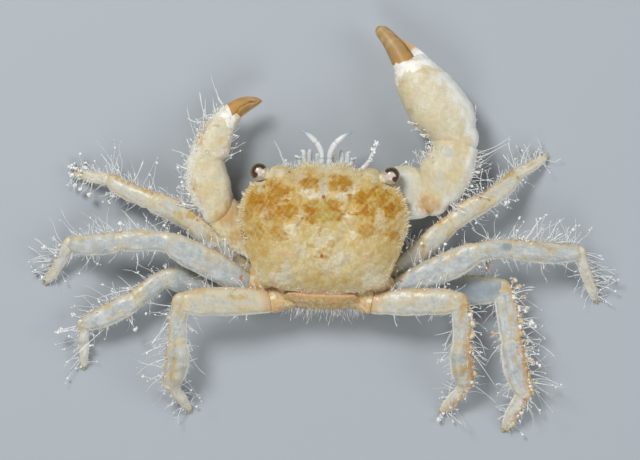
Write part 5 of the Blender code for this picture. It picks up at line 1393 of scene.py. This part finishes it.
def fringe(angles, shares, ways, lengths, radius, draw, tone=0.1):
    # setae on the shield, rooted at these angles and shares of the way out from its middle
    roots = shieldSkin(shares, angles)
    spread = np.stack([0.02 + 0.96 * np.mod(angles / (2 * np.pi), 1), 0.1 + 0.7 * shares], -1)
    bends = 0.12 * draw.normal(size=(len(angles), 3)) + np.array([0, 0, -0.08])
    radii = radius * draw.uniform(0.7, 1.2, len(angles))
    return growSetae(roots, ways, bends, lengths, radii, spread, draw, 0.15, tone)


antennaDirt = ((5.35, 7.95, 5.3, 0.3, 0.0), (5.5, 8.6, 5.4, 0.25, 0.0), (5.6, 9.2, 5.6, 0.35, 0.0),
               (6.0, 9.85, 5.8, 0.4, 0.0))  # on the right one, as in knots
edgeFringes = (  # how many setae, between which degrees round the edge, between which lengths, how thick
    (170, 62, 118, 0.25, 0.8, 0.04), (90, -15, 34, 0.2, 0.8, 0.04), (90, 146, 195, 0.2, 0.8, 0.04),
    (120, 215, 325, 0.15, 0.5, 0.03),
)
parts = clots(antennaDirt, draw)
count = 22  # short setae under the left orbit, as in the photo
roots = np.stack([draw.uniform(-5.2, -3.3, count), draw.uniform(6.4, 6.8, count), np.full(count, 5.9)], -1)
ways = unit(np.array([-0.1, 1, 0.2]) + 0.3 * draw.normal(size=(count, 3)))
bends, lengths = 0.1 * draw.normal(size=(count, 3)), draw.uniform(0.5, 1.3, count)
spread = np.stack([0.3 + 0.01 * roots[:, 0], 0.9 + 0 * roots[:, 0]], -1)
parts.append(growSetae(roots, ways, bends, lengths, np.full(count, 0.06), spread, draw, 0.4, 0.0))
for count, low, high, shortest, longest, radius in edgeFringes:
    around = np.radians(draw.uniform(low, high, count))
    radial = np.stack([np.cos(around), np.sin(around), 0.25 + 0 * around], -1)
    ways = unit(radial + 0.3 * draw.normal(size=(count, 3)))
    lengths = shortest + (longest - shortest) * draw.random(count) ** 1.5
    parts.append(fringe(around, draw.uniform(0.93, 1.0, count), ways, lengths, radius, draw))
count = 1500  # fine down, of which the outer part stays
around, shares = draw.uniform(0, 2 * np.pi, count), np.sqrt(draw.uniform(0.02, 0.95, count))
ways = np.stack([0.5 * np.cos(around), 0.35 + 0.5 * np.sin(around), 0.5 + 0 * around], -1)
ways = unit(ways + 0.3 * draw.normal(size=(count, 3)))
kept = shares > 0.45
lengths = draw.uniform(0.12, 0.35, kept.sum())
parts.append(fringe(around[kept], shares[kept], ways[kept], lengths, 0.018, draw, 0.5))
makePiece("shieldSetae", parts, setaChitin)
count = 420  # setae over the tail's hind face
x = draw.uniform(-4.6, 4.6, count)
y, z = -10.0 + 0.25 * (x / 4.6) ** 2 + draw.uniform(0, 0.5, count), draw.uniform(1.9, 4.6, count)
roots = np.stack([x, y, z], -1)
ways = unit(np.stack([x / 12, -1 + 0 * x, 0.15 + 0 * x], -1) + 0.3 * draw.normal(size=(count, 3)))
spread = np.stack([0.1 + 0.8 * (x + 4.6) / 9.2, 0.1 + 0.8 * (z - 1.9) / 2.7], -1)
bends = 0.15 * draw.normal(size=(count, 3)) + np.array([0, 0, -0.1])
lengths = 0.3 + 1.5 * draw.random(count) ** 2.2
tailSetae = growSetae(roots, ways, bends, lengths, np.full(count, 0.035), spread, draw, 0.15, 0.1)
makePiece("tailSetae", [tailSetae], setaChitin)
print("coat grown:", sum(triangleCount.values()), "triangles")


# Floor, light and camera

paleFloor, tree, shader = newMaterial("paleFloor")  # matt painted board, evenly dull
shader.inputs["Base Color"].default_value = linear("#a9afb4")
shader.inputs["Roughness"].default_value = 0.75
bpy.ops.mesh.primitive_plane_add(size=2.4, location=(0, 0, -0.00005))
floor = bpy.context.object
floor.name = "paleFloor"
floor.data.materials.append(paleFloor)
floor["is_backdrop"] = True

world = bpy.data.worlds.new("softRoom")
bpy.context.scene.world = world
world.use_nodes = True
world.node_tree.nodes["Background"].inputs["Color"].default_value = linear("#e4e9ef")
world.node_tree.nodes["Background"].inputs["Strength"].default_value = 0.26
lights = {  # place and breadth in metres, and power in watts; each looks at the middle of the floor
    "keyLight": ((-0.16, 0.2, 0.32), 0.14, 1.17), "fillLight": ((0.3, 0.02, 0.24), 0.22, 0.39),
    "rearLight": ((-0.02, -0.28, 0.3), 0.22, 0.47),
}
for name, (place, size, power) in lights.items():
    lamp = bpy.data.lights.new(name, "AREA")
    lamp.shape = "DISK"
    lamp.size = size
    lamp.energy = power
    holder = bpy.data.objects.new(name, lamp)
    bpy.context.scene.collection.objects.link(holder)
    holder.location = place
    holder.rotation_euler = (-Vector(place)).to_track_quat("-Z", "Y").to_euler()

view = {
    "turn": math.radians(1.8),  # the crab stands turned by this in the photo
    "breadth": 75.3, "middle": (-0.41, -0.47),  # mm across the photo, and its middle beside the crab's own
    "level": 6.0,  # mm over the floor, where the photo's breadth is met
    "lens": 180.0, "sensor": 36.0, "near": 0.02, "far": 10,
}
cameraData = bpy.data.cameras.new("camera")
cameraData.lens = view["lens"]
cameraData.sensor_width = view["sensor"]
cameraData.clip_start = view["near"]
cameraData.clip_end = view["far"]
camera = bpy.data.objects.new("camera", cameraData)
bpy.context.scene.collection.objects.link(camera)
c, s = math.cos(view["turn"]), math.sin(view["turn"])
aimX = view["middle"][0] * c - view["middle"][1] * s + crabPlace[0]
aimY = view["middle"][0] * s + view["middle"][1] * c + crabPlace[1]
high = view["breadth"] * view["lens"] / view["sensor"] + view["level"]
camera.location = (aimX * metre, aimY * metre, high * metre)
camera.rotation_euler = (0, 0, view["turn"])
bpy.context.scene.camera = camera
bpy.context.scene.view_settings.view_transform = "Standard"  # hex colours then show as they are written

seenLow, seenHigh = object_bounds()
sizes = {"cad": [list(cadLow), list(cadHigh)], "visual": [list(seenLow), list(seenHigh)]}
print("triangles in all:", sum(triangleCount.values()))
